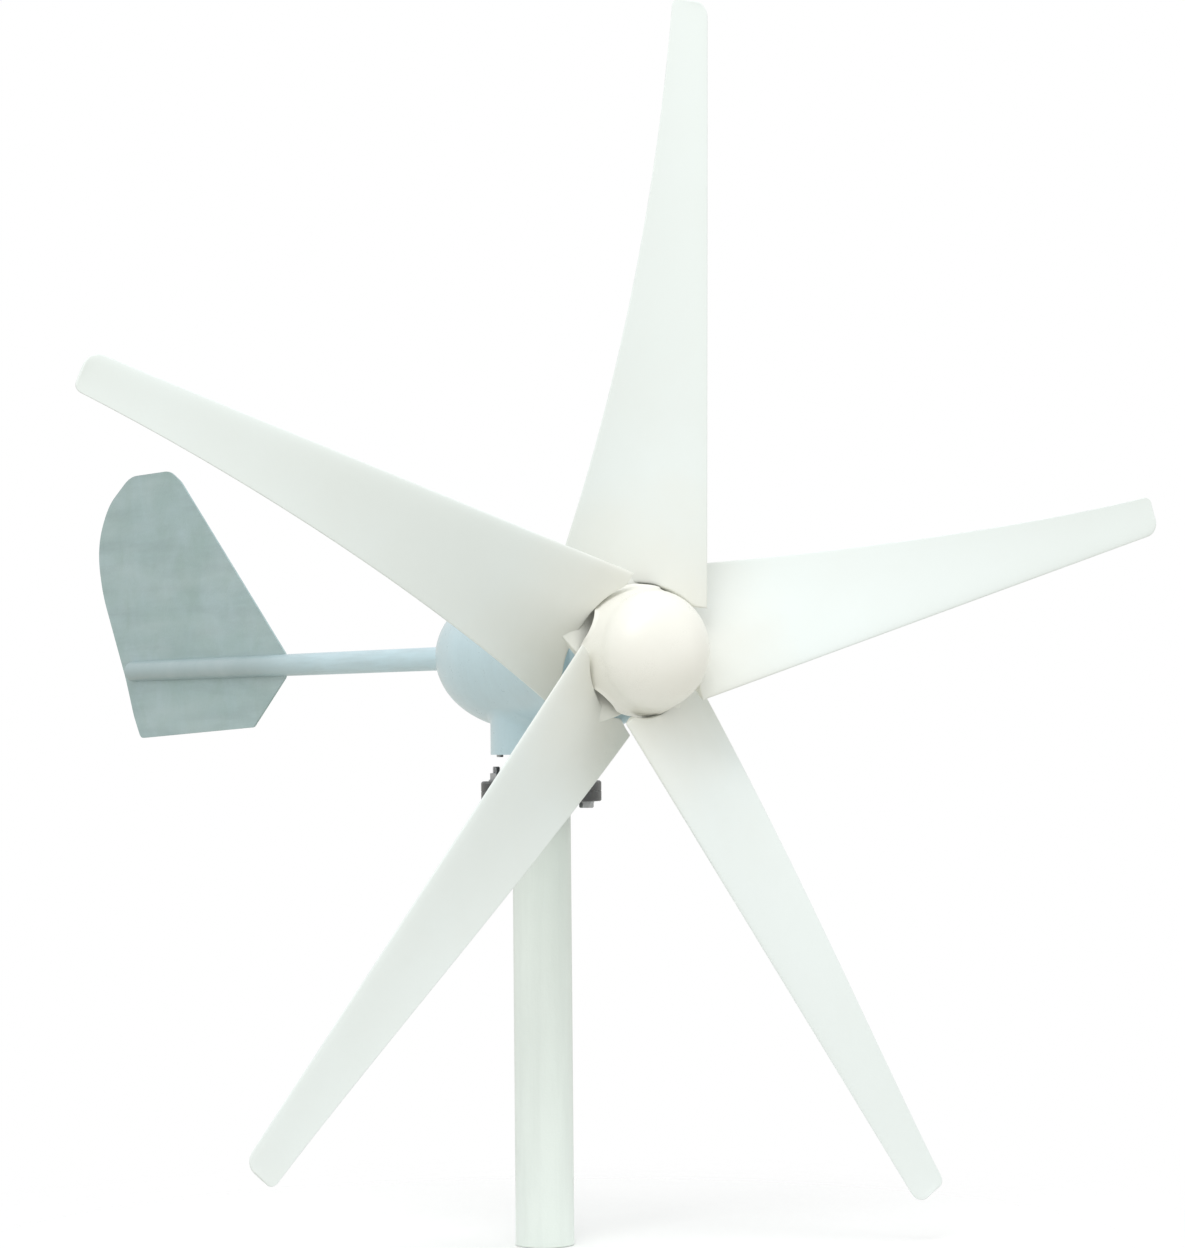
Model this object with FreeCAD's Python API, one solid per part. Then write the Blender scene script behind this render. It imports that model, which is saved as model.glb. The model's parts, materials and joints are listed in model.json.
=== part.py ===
"""Small five-blade wind turbine with a fixed tail, on the top length of its mast.

Frame: +Z is up and is the yaw axis. The origin is the centre of the mast tube's open
bottom end. The rotor axis lies along Y at HUB_Z, with the nose towards -Y and the tail
towards +Y. Seen from the nose the rotor turns clockwise, so a blade's leading edge is
its clockwise side. All sizes are in millimetres.
"""
import FreeCAD, Part
import math
import os
from FreeCAD import Placement, Rotation, Vector

# ---------------------------------------------------------------- driving dimensions
HUB_Z = 607.0              # rotor axis above the mast's open end
ROTOR_Y = -215.0           # plane of the blades' pitch lines, ahead of the yaw axis
ROTOR_RADIUS = 650.0
BLADE_COUNT = 5
REST_TURN = -5.0           # first blade's angle from straight up, counter-clockwise from the nose

BODY_RADIUS = 78.0
BODY_FRONT_Y = -110.0      # seam between the body casting and the front cover
COVER_FRONT_Y = -128.0
BODY_WAIST_Y = 22.0        # where the straight barrel ends and the egg-shaped rear begins
BODY_REAR_LENGTH = 148.0   # half axis of the egg-shaped rear
BOSS_END_Y = 172.0         # flat end of the boss that holds the tail boom
NECK_RADIUS = 52.0
NECK_BOTTOM_Z = HUB_Z - 103.0
NECK_FILLET = 16.0

FLANGE_RADIUS = 62.0
FLANGE_THICKNESS = 10.5
FLANGE_JOINT_Z = 466.0     # face where the mast flange and the yaw spindle meet
FLANGE_BOLT_CIRCLE = 48.0
FLANGE_BOLTS = 4
MAST_OUTER = 30.15
MAST_INNER = 27.25

BOOM_RADIUS = 12.7
BOOM_WALL = 2.0
BOOM_START_Y = 106.0
BOOM_END_Y = 1040.0
TAIL_START_Y = 600.0
TAIL_END_Y = 1150.0
TAIL_THICKNESS = 2.0

STACK_FRONT_Y = -104.0     # laminated stator and magnet rotor share this length
STACK_REAR_Y = -70.0
STATOR_OUTER = 66.0
STATOR_INNER = 45.0
STATOR_TEETH = 15
MAGNET_COUNT = 10

M4, M5, M6, M8 = 2.0, 2.5, 3.0, 4.0      # thread radii
FREE_HOLE = {M4: 2.25, M5: 2.75, M6: 3.3, M8: 4.5}
BALL_PLAY = 0.04           # radial play between a ball and its raceways

X_AXIS = Vector(1, 0, 0)
Y_AXIS = Vector(0, 1, 0)
Z_AXIS = Vector(0, 0, 1)
HUB = Vector(0, 0, HUB_Z)

parts = {}


# ---------------------------------------------------------------- general helpers
def face_of(points):
    """Flat face inside a closed polygon of vectors."""
    return Part.Face(Part.makePolygon(list(points) + [points[0]]))


def revolved(outline, base, axis):
    """Solid of revolution with its skin facing outwards."""
    solid = outline.revolve(base, axis, 360)
    return solid if solid.Volume > 0 else solid.reversed()


def turned_on_rotor(points):
    """Solid of revolution about the rotor axis from (y, radius) points."""
    return revolved(face_of([Vector(0, y, HUB_Z + radius) for y, radius in points]), HUB, Y_AXIS)


def turned_on_mast(points):
    """Solid of revolution about the yaw axis from (radius, z) points."""
    return revolved(face_of([Vector(radius, 0, z) for radius, z in points]), Vector(0, 0, 0), Z_AXIS)


def ring_on_rotor(inner, outer, y_front, y_rear):
    return turned_on_rotor([(y_front, inner), (y_front, outer), (y_rear, outer), (y_rear, inner)])


def ring_on_mast(inner, outer, z_low, z_high):
    return turned_on_mast([(inner, z_low), (outer, z_low), (outer, z_high), (inner, z_high)])


def rod(start, direction, radius, length):
    return Part.makeCylinder(radius, length, start, direction)


def block(x_range, y_range, z_range):
    size = [high - low for low, high in (x_range, y_range, z_range)]
    return Part.makeBox(*size, Vector(x_range[0], y_range[0], z_range[0]))


def fused(solids):
    first, *rest = solids
    return first.fuse(rest).removeSplitter() if rest else first


def group(solids):
    """Separate solids that share one node."""
    return Part.makeCompound(list(solids))


def around_rotor(shape, count, start=0.0):
    """Copies of a shape turned about the rotor axis, evenly spaced, counter-clockwise from the nose."""
    return [shape.rotated(HUB, Y_AXIS, -(start + k * 360.0 / count)) for k in range(count)]


def around_mast(shape, count, start=0.0):
    return [shape.rotated(Vector(0, 0, 0), Z_AXIS, start + k * 360.0 / count) for k in range(count)]


def placed(shape, start, direction):
    """A shape built along +Z from the origin, moved to start and aimed along direction."""
    moved = shape.copy()
    moved.Placement = Placement(start, Rotation(Z_AXIS, direction))
    return moved


def hexagon(across_flats, height, z_low=0.0):
    """Hexagonal prism with its corners turned off, as on a bolt head or a nut."""
    corner = across_flats / math.sqrt(3)
    points = [Vector(corner * math.cos(math.radians(60 * k)), corner * math.sin(math.radians(60 * k)), z_low)
              for k in range(6)]
    prism = face_of(points).extrude(Vector(0, 0, height))
    chamfer = 0.5 * (corner - across_flats / 2) + 0.35
    dome = Part.makeCone(corner - chamfer, corner + height, height + chamfer, Vector(0, 0, z_low))
    lid = Part.makeCone(corner + height, corner - chamfer, height + chamfer, Vector(0, 0, z_low - chamfer))
    return prism.common(dome).common(lid)


def hex_bolt(start, direction, thread, length, across_flats, head):
    """Bolt whose head sits on start and whose shank runs along direction."""
    shank = Part.makeCylinder(thread, length)
    tip = 0.6
    point = Part.makeCone(thread, thread - tip, tip, Vector(0, 0, length))
    return placed(fused([hexagon(across_flats, head, -head), shank, point]), start, direction)


def hex_nut(start, direction, thread, across_flats, height):
    return placed(hexagon(across_flats, height).cut(Part.makeCylinder(thread, height)), start, direction)


def socket_screw(start, direction, thread, length, head_radius, head):
    """Cap screw with a hexagonal socket in its head."""
    shank = Part.makeCylinder(thread, length)
    cap = Part.makeCylinder(head_radius, head, Vector(0, 0, -head))
    top = [edge for edge in cap.Edges if abs(edge.CenterOfMass.z + head) < 1e-6]
    cap = cap.makeFillet(0.5, top)
    socket = hexagon(1.6 * thread, head, -1.55 * head)
    return placed(fused([cap, shank]).cut(socket), start, direction)


def ball_bearing(y_or_z, width, bore, outer, ball, balls, turned):
    """Inner ring, outer ring and ball set of a deep-groove bearing.

    turned is turned_on_rotor or turned_on_mast; y_or_z is the middle of the width.
    """
    on_rotor = turned is turned_on_rotor
    low, high = y_or_z - width / 2, y_or_z + width / 2
    pitch = (bore + outer) / 2
    shoulder = 0.55 * ball
    centre = Vector(0, y_or_z, HUB_Z) if on_rotor else Vector(0, 0, y_or_z)
    axis = Y_AXIS if on_rotor else Z_AXIS
    out = Z_AXIS if on_rotor else X_AXIS
    groove = Part.makeTorus(pitch, ball + BALL_PLAY, centre, axis)

    def ring(inside, outside):
        points = [(low, inside), (low, outside), (high, outside), (high, inside)]
        return turned(points if on_rotor else [(radius, z) for z, radius in points]).cut(groove)

    inner = ring(bore, pitch - shoulder)
    outer_ring = ring(pitch + shoulder, outer)
    first = Part.makeSphere(ball, centre + out * pitch)
    step = 360.0 / balls
    set_of_balls = [first.rotated(centre, axis, k * step) for k in range(balls)]
    cage_half, cage_reach = 0.22 * ball, 1.2 * ball
    cage_points = [(y_or_z - cage_reach, pitch - cage_half), (y_or_z - cage_reach, pitch + cage_half),
                   (y_or_z + cage_reach, pitch + cage_half), (y_or_z + cage_reach, pitch - cage_half)]
    cage = turned(cage_points if on_rotor else [(radius, z) for z, radius in cage_points])
    pocket = rod(centre + out * (pitch - 2 * cage_half), out, ball + 2 * BALL_PLAY, 4 * cage_half)
    cage = cage.cut([pocket.rotated(centre, axis, k * step) for k in range(balls)])
    return inner, outer_ring, group(set_of_balls + [cage])


# ---------------------------------------------------------------- mast and yaw spindle
TUBE_TOP_Z = FLANGE_JOINT_Z - FLANGE_THICKNESS
SPINDLE_FLANGE_TOP_Z = FLANGE_JOINT_Z + FLANGE_THICKNESS
WASHER = 1.6
M8_FLATS, M8_HEAD, M8_NUT = 13.0, 5.3, 6.8
FLANGE_BOLT_TIP_Z = 491.0


def flange_holes(z_low, height):
    hole = rod(Vector(FLANGE_BOLT_CIRCLE, 0, z_low), Z_AXIS, FREE_HOLE[M8], height)
    return around_mast(hole, FLANGE_BOLTS, 45)


def build_mast():
    parts["mast_tube"] = ring_on_mast(MAST_INNER, MAST_OUTER, 0, TUBE_TOP_Z)

    weld = 6.0
    cable_way = 20.0
    flange = turned_on_mast([
        (cable_way, TUBE_TOP_Z), (MAST_OUTER, TUBE_TOP_Z), (MAST_OUTER, TUBE_TOP_Z - weld),
        (MAST_OUTER + weld, TUBE_TOP_Z), (FLANGE_RADIUS - 1, TUBE_TOP_Z), (FLANGE_RADIUS, TUBE_TOP_Z + 1),
        (FLANGE_RADIUS, FLANGE_JOINT_Z - 0.5), (FLANGE_RADIUS - 0.5, FLANGE_JOINT_Z),
        (cable_way, FLANGE_JOINT_Z)])
    parts["mast_flange"] = flange.cut(flange_holes(TUBE_TOP_Z - 1, FLANGE_THICKNESS + 2))

    bolts, washers, nuts = [], [], []
    head_z = TUBE_TOP_Z - WASHER
    for k in range(FLANGE_BOLTS):
        angle = math.radians(45 + 90 * k)
        x, y = FLANGE_BOLT_CIRCLE * math.cos(angle), FLANGE_BOLT_CIRCLE * math.sin(angle)
        length = FLANGE_BOLT_TIP_Z - head_z
        bolts.append(hex_bolt(Vector(x, y, head_z), Z_AXIS, M8, length, M8_FLATS, M8_HEAD))
        for z in (head_z, SPINDLE_FLANGE_TOP_Z):
            plate = rod(Vector(x, y, z), Z_AXIS, 8.0, WASHER)
            washers.append(plate.cut(rod(Vector(x, y, z), Z_AXIS, 4.2, WASHER)))
        nuts.append(hex_nut(Vector(x, y, SPINDLE_FLANGE_TOP_Z + WASHER), Z_AXIS, M8, M8_FLATS, M8_NUT))
    parts["flange_bolts"] = group(bolts)
    parts["flange_washers"] = group(washers)
    parts["flange_nuts"] = group(nuts)


LOWER_SEAT_Z, LOWER_WIDTH = 508.0, 15.0    # 40 x 68 x 15 bearing
UPPER_SEAT_Z, UPPER_WIDTH = 556.0, 13.0    # 30 x 55 x 13 bearing
SPINDLE_TOP_Z = 640.0
CABLE_BORE = 7.0
SLEEVE_Z = (582.0, 636.0)
SLIP_RING_RADIUS = 18.0
SLIP_RING_Z = (588.0, 604.0, 620.0)        # lower edge of each ring
SLIP_RING_HEIGHT = 9.0


def build_spindle():
    spindle = turned_on_mast([
        (CABLE_BORE, FLANGE_JOINT_Z), (FLANGE_RADIUS - 0.5, FLANGE_JOINT_Z),
        (FLANGE_RADIUS, FLANGE_JOINT_Z + 0.5), (FLANGE_RADIUS, SPINDLE_FLANGE_TOP_Z - 1.5),
        (FLANGE_RADIUS - 1.5, SPINDLE_FLANGE_TOP_Z), (31, SPINDLE_FLANGE_TOP_Z),
        (22.5, SPINDLE_FLANGE_TOP_Z + 8.5), (22.5, LOWER_SEAT_Z), (20, LOWER_SEAT_Z),
        (20, LOWER_SEAT_Z + LOWER_WIDTH + 1), (17.5, LOWER_SEAT_Z + LOWER_WIDTH + 1),
        (17.5, UPPER_SEAT_Z), (15, UPPER_SEAT_Z), (15, 580), (11, 580),
        (11, SPINDLE_TOP_Z - 1), (10, SPINDLE_TOP_Z), (CABLE_BORE, SPINDLE_TOP_Z)])
    parts["yaw_spindle"] = spindle.cut(flange_holes(FLANGE_JOINT_Z - 1, FLANGE_THICKNESS + 2))

    lower_middle = LOWER_SEAT_Z + LOWER_WIDTH / 2
    upper_middle = UPPER_SEAT_Z + UPPER_WIDTH / 2
    lower = ball_bearing(lower_middle, LOWER_WIDTH, 20.0, 34.0, 3.97, 12, turned_on_mast)
    upper = ball_bearing(upper_middle, UPPER_WIDTH, 15.0, 27.5, 3.57, 11, turned_on_mast)
    parts["lower_bearing_inner"], parts["lower_bearing_outer"], parts["lower_ball_set"] = lower
    parts["upper_bearing_inner"], parts["upper_bearing_outer"], parts["upper_ball_set"] = upper

    nut = ring_on_mast(15.0, 21.5, UPPER_SEAT_Z + UPPER_WIDTH, 576.5)
    slot = block((19.5, 22), (-2.5, 2.5), (568, 578))
    parts["yaw_lock_nut"] = nut.cut(around_mast(slot, 4))

    parts["neck_seal"] = turned_on_mast([(22.5, 496.5), (26, 496.5), (26.5, 499.5), (29, 503.4),
                                         (24.6, 503.4), (24.2, 502.5), (22.5, 502.5)])

    low, high = SLEEVE_Z
    sleeve = ring_on_mast(11.0, SLIP_RING_RADIUS + 1.5, low, high)
    grooves = [ring_on_mast(15.0, SLIP_RING_RADIUS + 3, z, z + SLIP_RING_HEIGHT) for z in SLIP_RING_Z]
    parts["slip_ring_sleeve"] = sleeve.cut(grooves)
    parts["slip_rings"] = group(ring_on_mast(15.0, SLIP_RING_RADIUS, z, z + SLIP_RING_HEIGHT)
                                for z in SLIP_RING_Z)


# ---------------------------------------------------------------- body casting and its covers
NECK_PLATE_TOP_Z = LOWER_SEAT_Z
COVER_SCREW_CIRCLE, COVER_SCREWS = 71.5, 6
BELL_FRONT_Y, BELL_REAR_Y = -58.0, -52.0
BELL_SCREW_CIRCLE, BELL_SCREWS = 62.5, 4
NECK_SCREW_CIRCLE, NECK_SCREWS = 44.0, 4
SET_SCREW_Y = (140.0, 156.0)


def egg(front_y, barrel_radius, half_axis):
    """Barrel closed by half an ellipsoid, about the rotor axis."""
    tail_tip = Vector(0, BODY_WAIST_Y + half_axis, HUB_Z)
    shoulder = Vector(0, BODY_WAIST_Y, HUB_Z + barrel_radius)
    ellipse = Part.Ellipse(tail_tip, shoulder, Vector(0, BODY_WAIST_Y, HUB_Z))
    curve = Part.ArcOfEllipse(ellipse, 0, math.pi / 2).toBSpline().toShape()
    front_edge = Vector(0, front_y, HUB_Z + barrel_radius)
    front_centre = Vector(0, front_y, HUB_Z)
    lines = [Part.makeLine(shoulder, front_edge), Part.makeLine(front_edge, front_centre),
             Part.makeLine(front_centre, tail_tip)]
    return revolved(Part.Face(Part.Wire([curve] + lines)), HUB, Y_AXIS)


def build_body():
    outside = egg(BODY_FRONT_Y, BODY_RADIUS, BODY_REAR_LENGTH)
    neck = rod(Vector(0, 0, NECK_BOTTOM_Z), Z_AXIS, NECK_RADIUS, HUB_Z - 30 - NECK_BOTTOM_Z)
    outside = outside.fuse(neck).removeSplitter()
    joint = [edge for edge in outside.Edges
             if edge.BoundBox.ZMin > NECK_BOTTOM_Z + 5 and edge.BoundBox.ZMax < HUB_Z - 20
             and edge.BoundBox.DiagonalLength > 10]
    outside = outside.makeFillet(NECK_FILLET, joint)
    boss_radius = 16.0
    boss = rod(Vector(0, 120, HUB_Z), Y_AXIS, boss_radius, BOSS_END_Y - 120)
    boss_rim = [edge for edge in boss.Edges if abs(edge.CenterOfMass.y - BOSS_END_Y) < 1e-6]
    outside = outside.fuse(boss.makeFillet(1.5, boss_rim)).removeSplitter()

    ledge_y = BELL_REAR_Y
    bore = ring_on_rotor(0, STATOR_OUTER, BODY_FRONT_Y, ledge_y)
    throat = ring_on_rotor(0, 58.0, ledge_y, -44)
    hollow = egg(-44, BODY_RADIUS - 8, BODY_REAR_LENGTH - 8)
    yaw_tower = rod(Vector(0, 0, NECK_BOTTOM_Z), Z_AXIS, 34.0, 575 - NECK_BOTTOM_Z)
    brush_shelf = block((-21, 21), (18, 50), (545, 575))
    boom_socket = rod(Vector(0, 100, HUB_Z), Y_AXIS, 21.0, BOSS_END_Y - 100)
    hollow = hollow.cut([yaw_tower, brush_shelf, boom_socket])
    casting = outside.cut([bore, throat, hollow])

    lower_top = LOWER_SEAT_Z + LOWER_WIDTH
    cuts = [
        rod(Vector(0, 0, NECK_BOTTOM_Z - 1), Z_AXIS, 49.0, NECK_PLATE_TOP_Z - NECK_BOTTOM_Z + 1),
        rod(Vector(0, 0, LOWER_SEAT_Z - 1), Z_AXIS, 34.0, LOWER_WIDTH + 1),
        rod(Vector(0, 0, lower_top - 1), Z_AXIS, 24.0, 60),
        rod(Vector(0, 0, UPPER_SEAT_Z), Z_AXIS, 27.5, 30),
        rod(Vector(0, BOOM_START_Y, HUB_Z), Y_AXIS, BOOM_RADIUS, 80),
    ]
    cuts += [rod(Vector(0, y, HUB_Z - 40), Z_AXIS, M6, 40) for y in SET_SCREW_Y]
    cover_hole = rod(Vector(0, BODY_FRONT_Y, HUB_Z + COVER_SCREW_CIRCLE), Y_AXIS, M5, 14)
    cuts += around_rotor(cover_hole, COVER_SCREWS, 30)
    bell_hole = rod(Vector(0, BELL_REAR_Y, HUB_Z + BELL_SCREW_CIRCLE), Y_AXIS, M4, 6)
    cuts += around_rotor(bell_hole, BELL_SCREWS, 45)
    neck_hole = rod(Vector(NECK_SCREW_CIRCLE, 0, NECK_PLATE_TOP_Z), Z_AXIS, M4, 8)
    cuts += around_mast(neck_hole, NECK_SCREWS, 45)
    cuts += [rod(Vector(x, 43, 565), Z_AXIS, M4, 12) for x in (-15, 15)]
    parts["body_casting"] = casting.cut(cuts)

    set_screws = []
    for y in SET_SCREW_Y:
        screw = rod(Vector(0, y, HUB_Z - BOOM_RADIUS - 9), Z_AXIS, M6, 9)
        socket = placed(hexagon(3.0, 4.0), Vector(0, y, HUB_Z - BOOM_RADIUS - 10), Z_AXIS)
        set_screws.append(screw.common(block((-5, 5), (y - 5, y + 5), (500, HUB_Z))).cut(socket))
    boom_outside = rod(Vector(0, BOOM_START_Y, HUB_Z), Y_AXIS, BOOM_RADIUS, 80)
    parts["boom_set_screws"] = group(screw.cut(boom_outside) for screw in set_screws)

    plate = ring_on_mast(24.5, 48.9, NECK_BOTTOM_Z, NECK_PLATE_TOP_Z)
    plate_hole = rod(Vector(NECK_SCREW_CIRCLE, 0, NECK_BOTTOM_Z - 1), Z_AXIS, FREE_HOLE[M4], 8)
    parts["neck_plate"] = plate.cut(around_mast(plate_hole, NECK_SCREWS, 45))
    neck_screw = socket_screw(Vector(NECK_SCREW_CIRCLE, 0, NECK_BOTTOM_Z), Z_AXIS, M4, 11, 3.5, 2.6)
    parts["neck_screws"] = group(around_mast(neck_screw, NECK_SCREWS, 45))


SEAL_FRONT_Y, SEAL_REAR_Y = -148.0, -141.5
FRONT_BEARING_Y, FRONT_BEARING_WIDTH = -134.0, 14.0    # 20 x 47 x 14 bearing
REAR_BEARING_Y, REAR_BEARING_WIDTH = -46.0, 12.0       # 17 x 40 x 12 bearing
COLLAR_RADIUS = 12.5


def build_covers():
    edge = 9.0
    corner = Vector(0, COVER_FRONT_Y + edge, HUB_Z + BODY_RADIUS - edge)
    arc_middle = corner + Vector(0, -edge, edge) * math.sqrt(0.5)
    boss_front_y, boss_radius = -150.0, 33.0
    wall_y = -122.0
    outline = [Vector(0, y, HUB_Z + radius) for y, radius in (
        (COVER_FRONT_Y, BODY_RADIUS - edge), (COVER_FRONT_Y, boss_radius + 6),
        (COVER_FRONT_Y - 6, boss_radius), (boss_front_y + 2, boss_radius),
        (boss_front_y, boss_radius - 2), (boss_front_y, 0), (wall_y, 0), (wall_y, STATOR_OUTER - 4),
        (BODY_FRONT_Y, STATOR_OUTER - 4), (BODY_FRONT_Y, BODY_RADIUS),
        (COVER_FRONT_Y + edge, BODY_RADIUS))]
    rounded = Part.Arc(outline[-1], arc_middle, outline[0]).toShape()
    sides = Part.makePolygon(outline)
    cover = revolved(Part.Face(Part.Wire(sides.Edges + [rounded])), HUB, Y_AXIS)
    bearing_front = FRONT_BEARING_Y - FRONT_BEARING_WIDTH / 2
    cover = cover.cut([
        ring_on_rotor(0, 14.0, boss_front_y - 1, -100),
        ring_on_rotor(0, 20.0, boss_front_y - 1, SEAL_REAR_Y),
        ring_on_rotor(0, 23.5, bearing_front, -100),
    ])
    seat = Vector(0, COVER_FRONT_Y + 7, HUB_Z + COVER_SCREW_CIRCLE)
    hole = rod(seat, Y_AXIS, FREE_HOLE[M5], 30)
    counterbore = rod(seat, -Y_AXIS, 5.0, 10)
    parts["front_cover"] = cover.cut(around_rotor(fused([hole, counterbore]), COVER_SCREWS, 30))
    screw = socket_screw(seat, Y_AXIS, M5, 22, 4.25, 4.6)
    parts["cover_screws"] = group(around_rotor(screw, COVER_SCREWS, 30))
    parts["shaft_seal"] = turned_on_rotor([
        (SEAL_FRONT_Y, 14.2), (SEAL_FRONT_Y, 20.0), (SEAL_REAR_Y, 20.0), (SEAL_REAR_Y, 17.5),
        (SEAL_FRONT_Y + 2, 17.5), (SEAL_FRONT_Y + 2, 15.2), (SEAL_REAR_Y - 1, COLLAR_RADIUS + 0.05),
        (SEAL_REAR_Y - 2.2, COLLAR_RADIUS + 0.05)])

    bell = turned_on_rotor([
        (BELL_FRONT_Y, 0), (BELL_FRONT_Y, STATOR_OUTER), (BELL_REAR_Y, STATOR_OUTER), (BELL_REAR_Y, 26.0),
        (-36, 26.0), (-36, 0)])
    rear_seat = REAR_BEARING_Y + REAR_BEARING_WIDTH / 2
    bell = bell.cut([ring_on_rotor(0, 20.0, BELL_FRONT_Y - 1, rear_seat),
                     ring_on_rotor(0, 12.0, rear_seat - 1, -30)])
    bell_hole = rod(Vector(0, BELL_FRONT_Y - 1, HUB_Z + BELL_SCREW_CIRCLE), Y_AXIS, FREE_HOLE[M4], 10)
    parts["rear_bell"] = bell.cut(around_rotor(bell_hole, BELL_SCREWS, 45))
    bell_screw = socket_screw(Vector(0, BELL_FRONT_Y, HUB_Z + BELL_SCREW_CIRCLE), Y_AXIS, M4, 10, 3.4, 2.6)
    parts["bell_screws"] = group(around_rotor(bell_screw, BELL_SCREWS, 45))


# ---------------------------------------------------------------- generator
def build_generator():
    length = STACK_REAR_Y - STACK_FRONT_Y
    core = ring_on_rotor(STATOR_INNER, STATOR_OUTER, STACK_FRONT_Y, STACK_REAR_Y)
    slot_mouth = block((-1.6, 1.6), (STACK_FRONT_Y, STACK_REAR_Y), (HUB_Z + 43, HUB_Z + 49))
    slot = block((-5.7, 5.7), (STACK_FRONT_Y, STACK_REAR_Y), (HUB_Z + 48, HUB_Z + 58))
    half_pitch = 180.0 / STATOR_TEETH
    parts["stator_core"] = core.cut(around_rotor(slot_mouth.fuse(slot), STATOR_TEETH, half_pitch))

    overhang = 8.0
    coil_half, coil_hole_half = 9.9, 6.4
    coil = block((-coil_half, coil_half), (STACK_FRONT_Y - overhang, STACK_REAR_Y + overhang),
                 (HUB_Z + 49, HUB_Z + 57))
    long_edges = [edge for edge in coil.Edges if abs(edge.tangentAt(edge.FirstParameter).z) > 0.9]
    coil = coil.makeFillet(3.5, long_edges)
    window = block((-coil_hole_half, coil_hole_half), (STACK_FRONT_Y - 0.4, STACK_REAR_Y + 0.4),
                   (HUB_Z + 48, HUB_Z + 58))
    parts["stator_coils"] = group(around_rotor(coil.cut(window), STATOR_TEETH))

    shaft = turned_on_rotor([
        (-212, 0), (-212, 7), (-211, 8), (-193, 8), (-190, 8), (-190, 9), (-157, 9), (-157, COLLAR_RADIUS),
        (-141, COLLAR_RADIUS), (-141, 10), (-127, 10), (-127, 12), (-65, 12), (-65, 10), (-52, 10),
        (-52, 8.5), (-40, 8.5), (-39, 7.5), (-39, 0)])
    keyway = block((-3, 3), (-186, -162), (HUB_Z + 5.5, HUB_Z + 10))
    parts["rotor_shaft"] = shaft.cut(keyway)
    parts["hub_key"] = block((-3, 3), (-186, -162), (HUB_Z + 5.5, HUB_Z + 11.5))

    core_radius = 40.0
    parts["magnet_core"] = ring_on_rotor(12.0, core_radius, STACK_FRONT_Y, STACK_REAR_Y)
    magnet_ring = ring_on_rotor(core_radius, STATOR_INNER - 1.0, STACK_FRONT_Y + 1, STACK_REAR_Y - 1)
    wedge_angle = math.radians(14.5)
    reach = 60.0
    wedge = face_of([Vector(0, STACK_FRONT_Y, HUB_Z),
                     Vector(-reach * math.tan(wedge_angle), STACK_FRONT_Y, HUB_Z + reach),
                     Vector(reach * math.tan(wedge_angle), STACK_FRONT_Y, HUB_Z + reach)])
    magnet = magnet_ring.common(wedge.extrude(Vector(0, length, 0)))
    parts["rotor_magnets"] = group(around_rotor(magnet, MAGNET_COUNT))

    front = ball_bearing(FRONT_BEARING_Y, FRONT_BEARING_WIDTH, 10.0, 23.5, 3.97, 8, turned_on_rotor)
    rear = ball_bearing(REAR_BEARING_Y, REAR_BEARING_WIDTH, 8.5, 20.0, 3.37, 8, turned_on_rotor)
    parts["front_bearing_inner"], parts["front_bearing_outer"], parts["front_ball_set"] = front
    parts["rear_bearing_inner"], parts["rear_bearing_outer"], parts["rear_ball_set"] = rear


def build_brushes():
    contact_gap = 0.15
    front_y = 24.0
    foot = block((-20, 20), (front_y, 50), (575, 579))
    back = block((-9, 9), (front_y, 46), (579, 634))
    foot_holes = [rod(Vector(x, 43, 570), Z_AXIS, FREE_HOLE[M4], 20) for x in (-15, 15)]
    brush_half = 3.0
    brushes, springs, pockets = [], [], []
    for z in SLIP_RING_Z:
        low, high = z + 1.5, z + 7.5
        middle = (low + high) / 2
        brushes.append(block((-brush_half, brush_half), (SLIP_RING_RADIUS + contact_gap, 32), (low, high)))
        pockets.append(block((-brush_half, brush_half), (front_y, 42), (low, high)))
        helix = Part.makeHelix(1.6, 9.2, 2.0)
        start = Vector(2.0, 0, 0)
        wire_section = Part.Wire(Part.makeCircle(0.3, start, Vector(0, 1, 0.13)))
        coil = Part.Wire(helix).makePipeShell([wire_section], True, True)
        springs.append(placed(coil, Vector(0, 32.4, middle), Y_AXIS))
    parts["brush_holder"] = fused([foot, back]).cut(foot_holes + pockets)
    parts["brushes"] = group(brushes)
    parts["brush_springs"] = group(springs)
    screws = [socket_screw(Vector(x, 43, 579), -Z_AXIS, M4, 12, 3.5, 3.6) for x in (-15, 15)]
    parts["brush_screws"] = group(screws)


# ---------------------------------------------------------------- tail
def build_tail():
    tube = ring_on_rotor(BOOM_RADIUS - BOOM_WALL, BOOM_RADIUS, BOOM_START_Y, BOOM_END_Y)
    slot_start = TAIL_START_Y - 4
    half_slot = TAIL_THICKNESS / 2 + 0.1
    slot = block((-half_slot, half_slot), (slot_start, BOOM_END_Y + 1), (HUB_Z - 20, HUB_Z + 20))
    parts["tail_boom"] = tube.cut(slot)

    corners = [
        (TAIL_START_Y, 13.0), (TAIL_START_Y + 292, 231.0), (TAIL_START_Y + 325, 246.0),
        (TAIL_START_Y + 445, 246.0), (TAIL_END_Y - 36, 213.0), (TAIL_END_Y, 165.0), (TAIL_END_Y - 12, 106.0),
        (TAIL_END_Y - 88, -10.0), (TAIL_END_Y - 112, -56.0), (TAIL_END_Y - 133, -84.0),
        (TAIL_START_Y + 88, -72.0), (TAIL_START_Y, -14.0)]
    radii = (6, 60, 60, 90, 90, 90, 200, 200, 80, 14, 14, 6)
    outline = rounded_outline([Vector(-TAIL_THICKNESS / 2, y, HUB_Z + z) for y, z in corners], radii)
    parts["tail_plate"] = Part.Face(outline).extrude(Vector(TAIL_THICKNESS, 0, 0))


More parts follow.
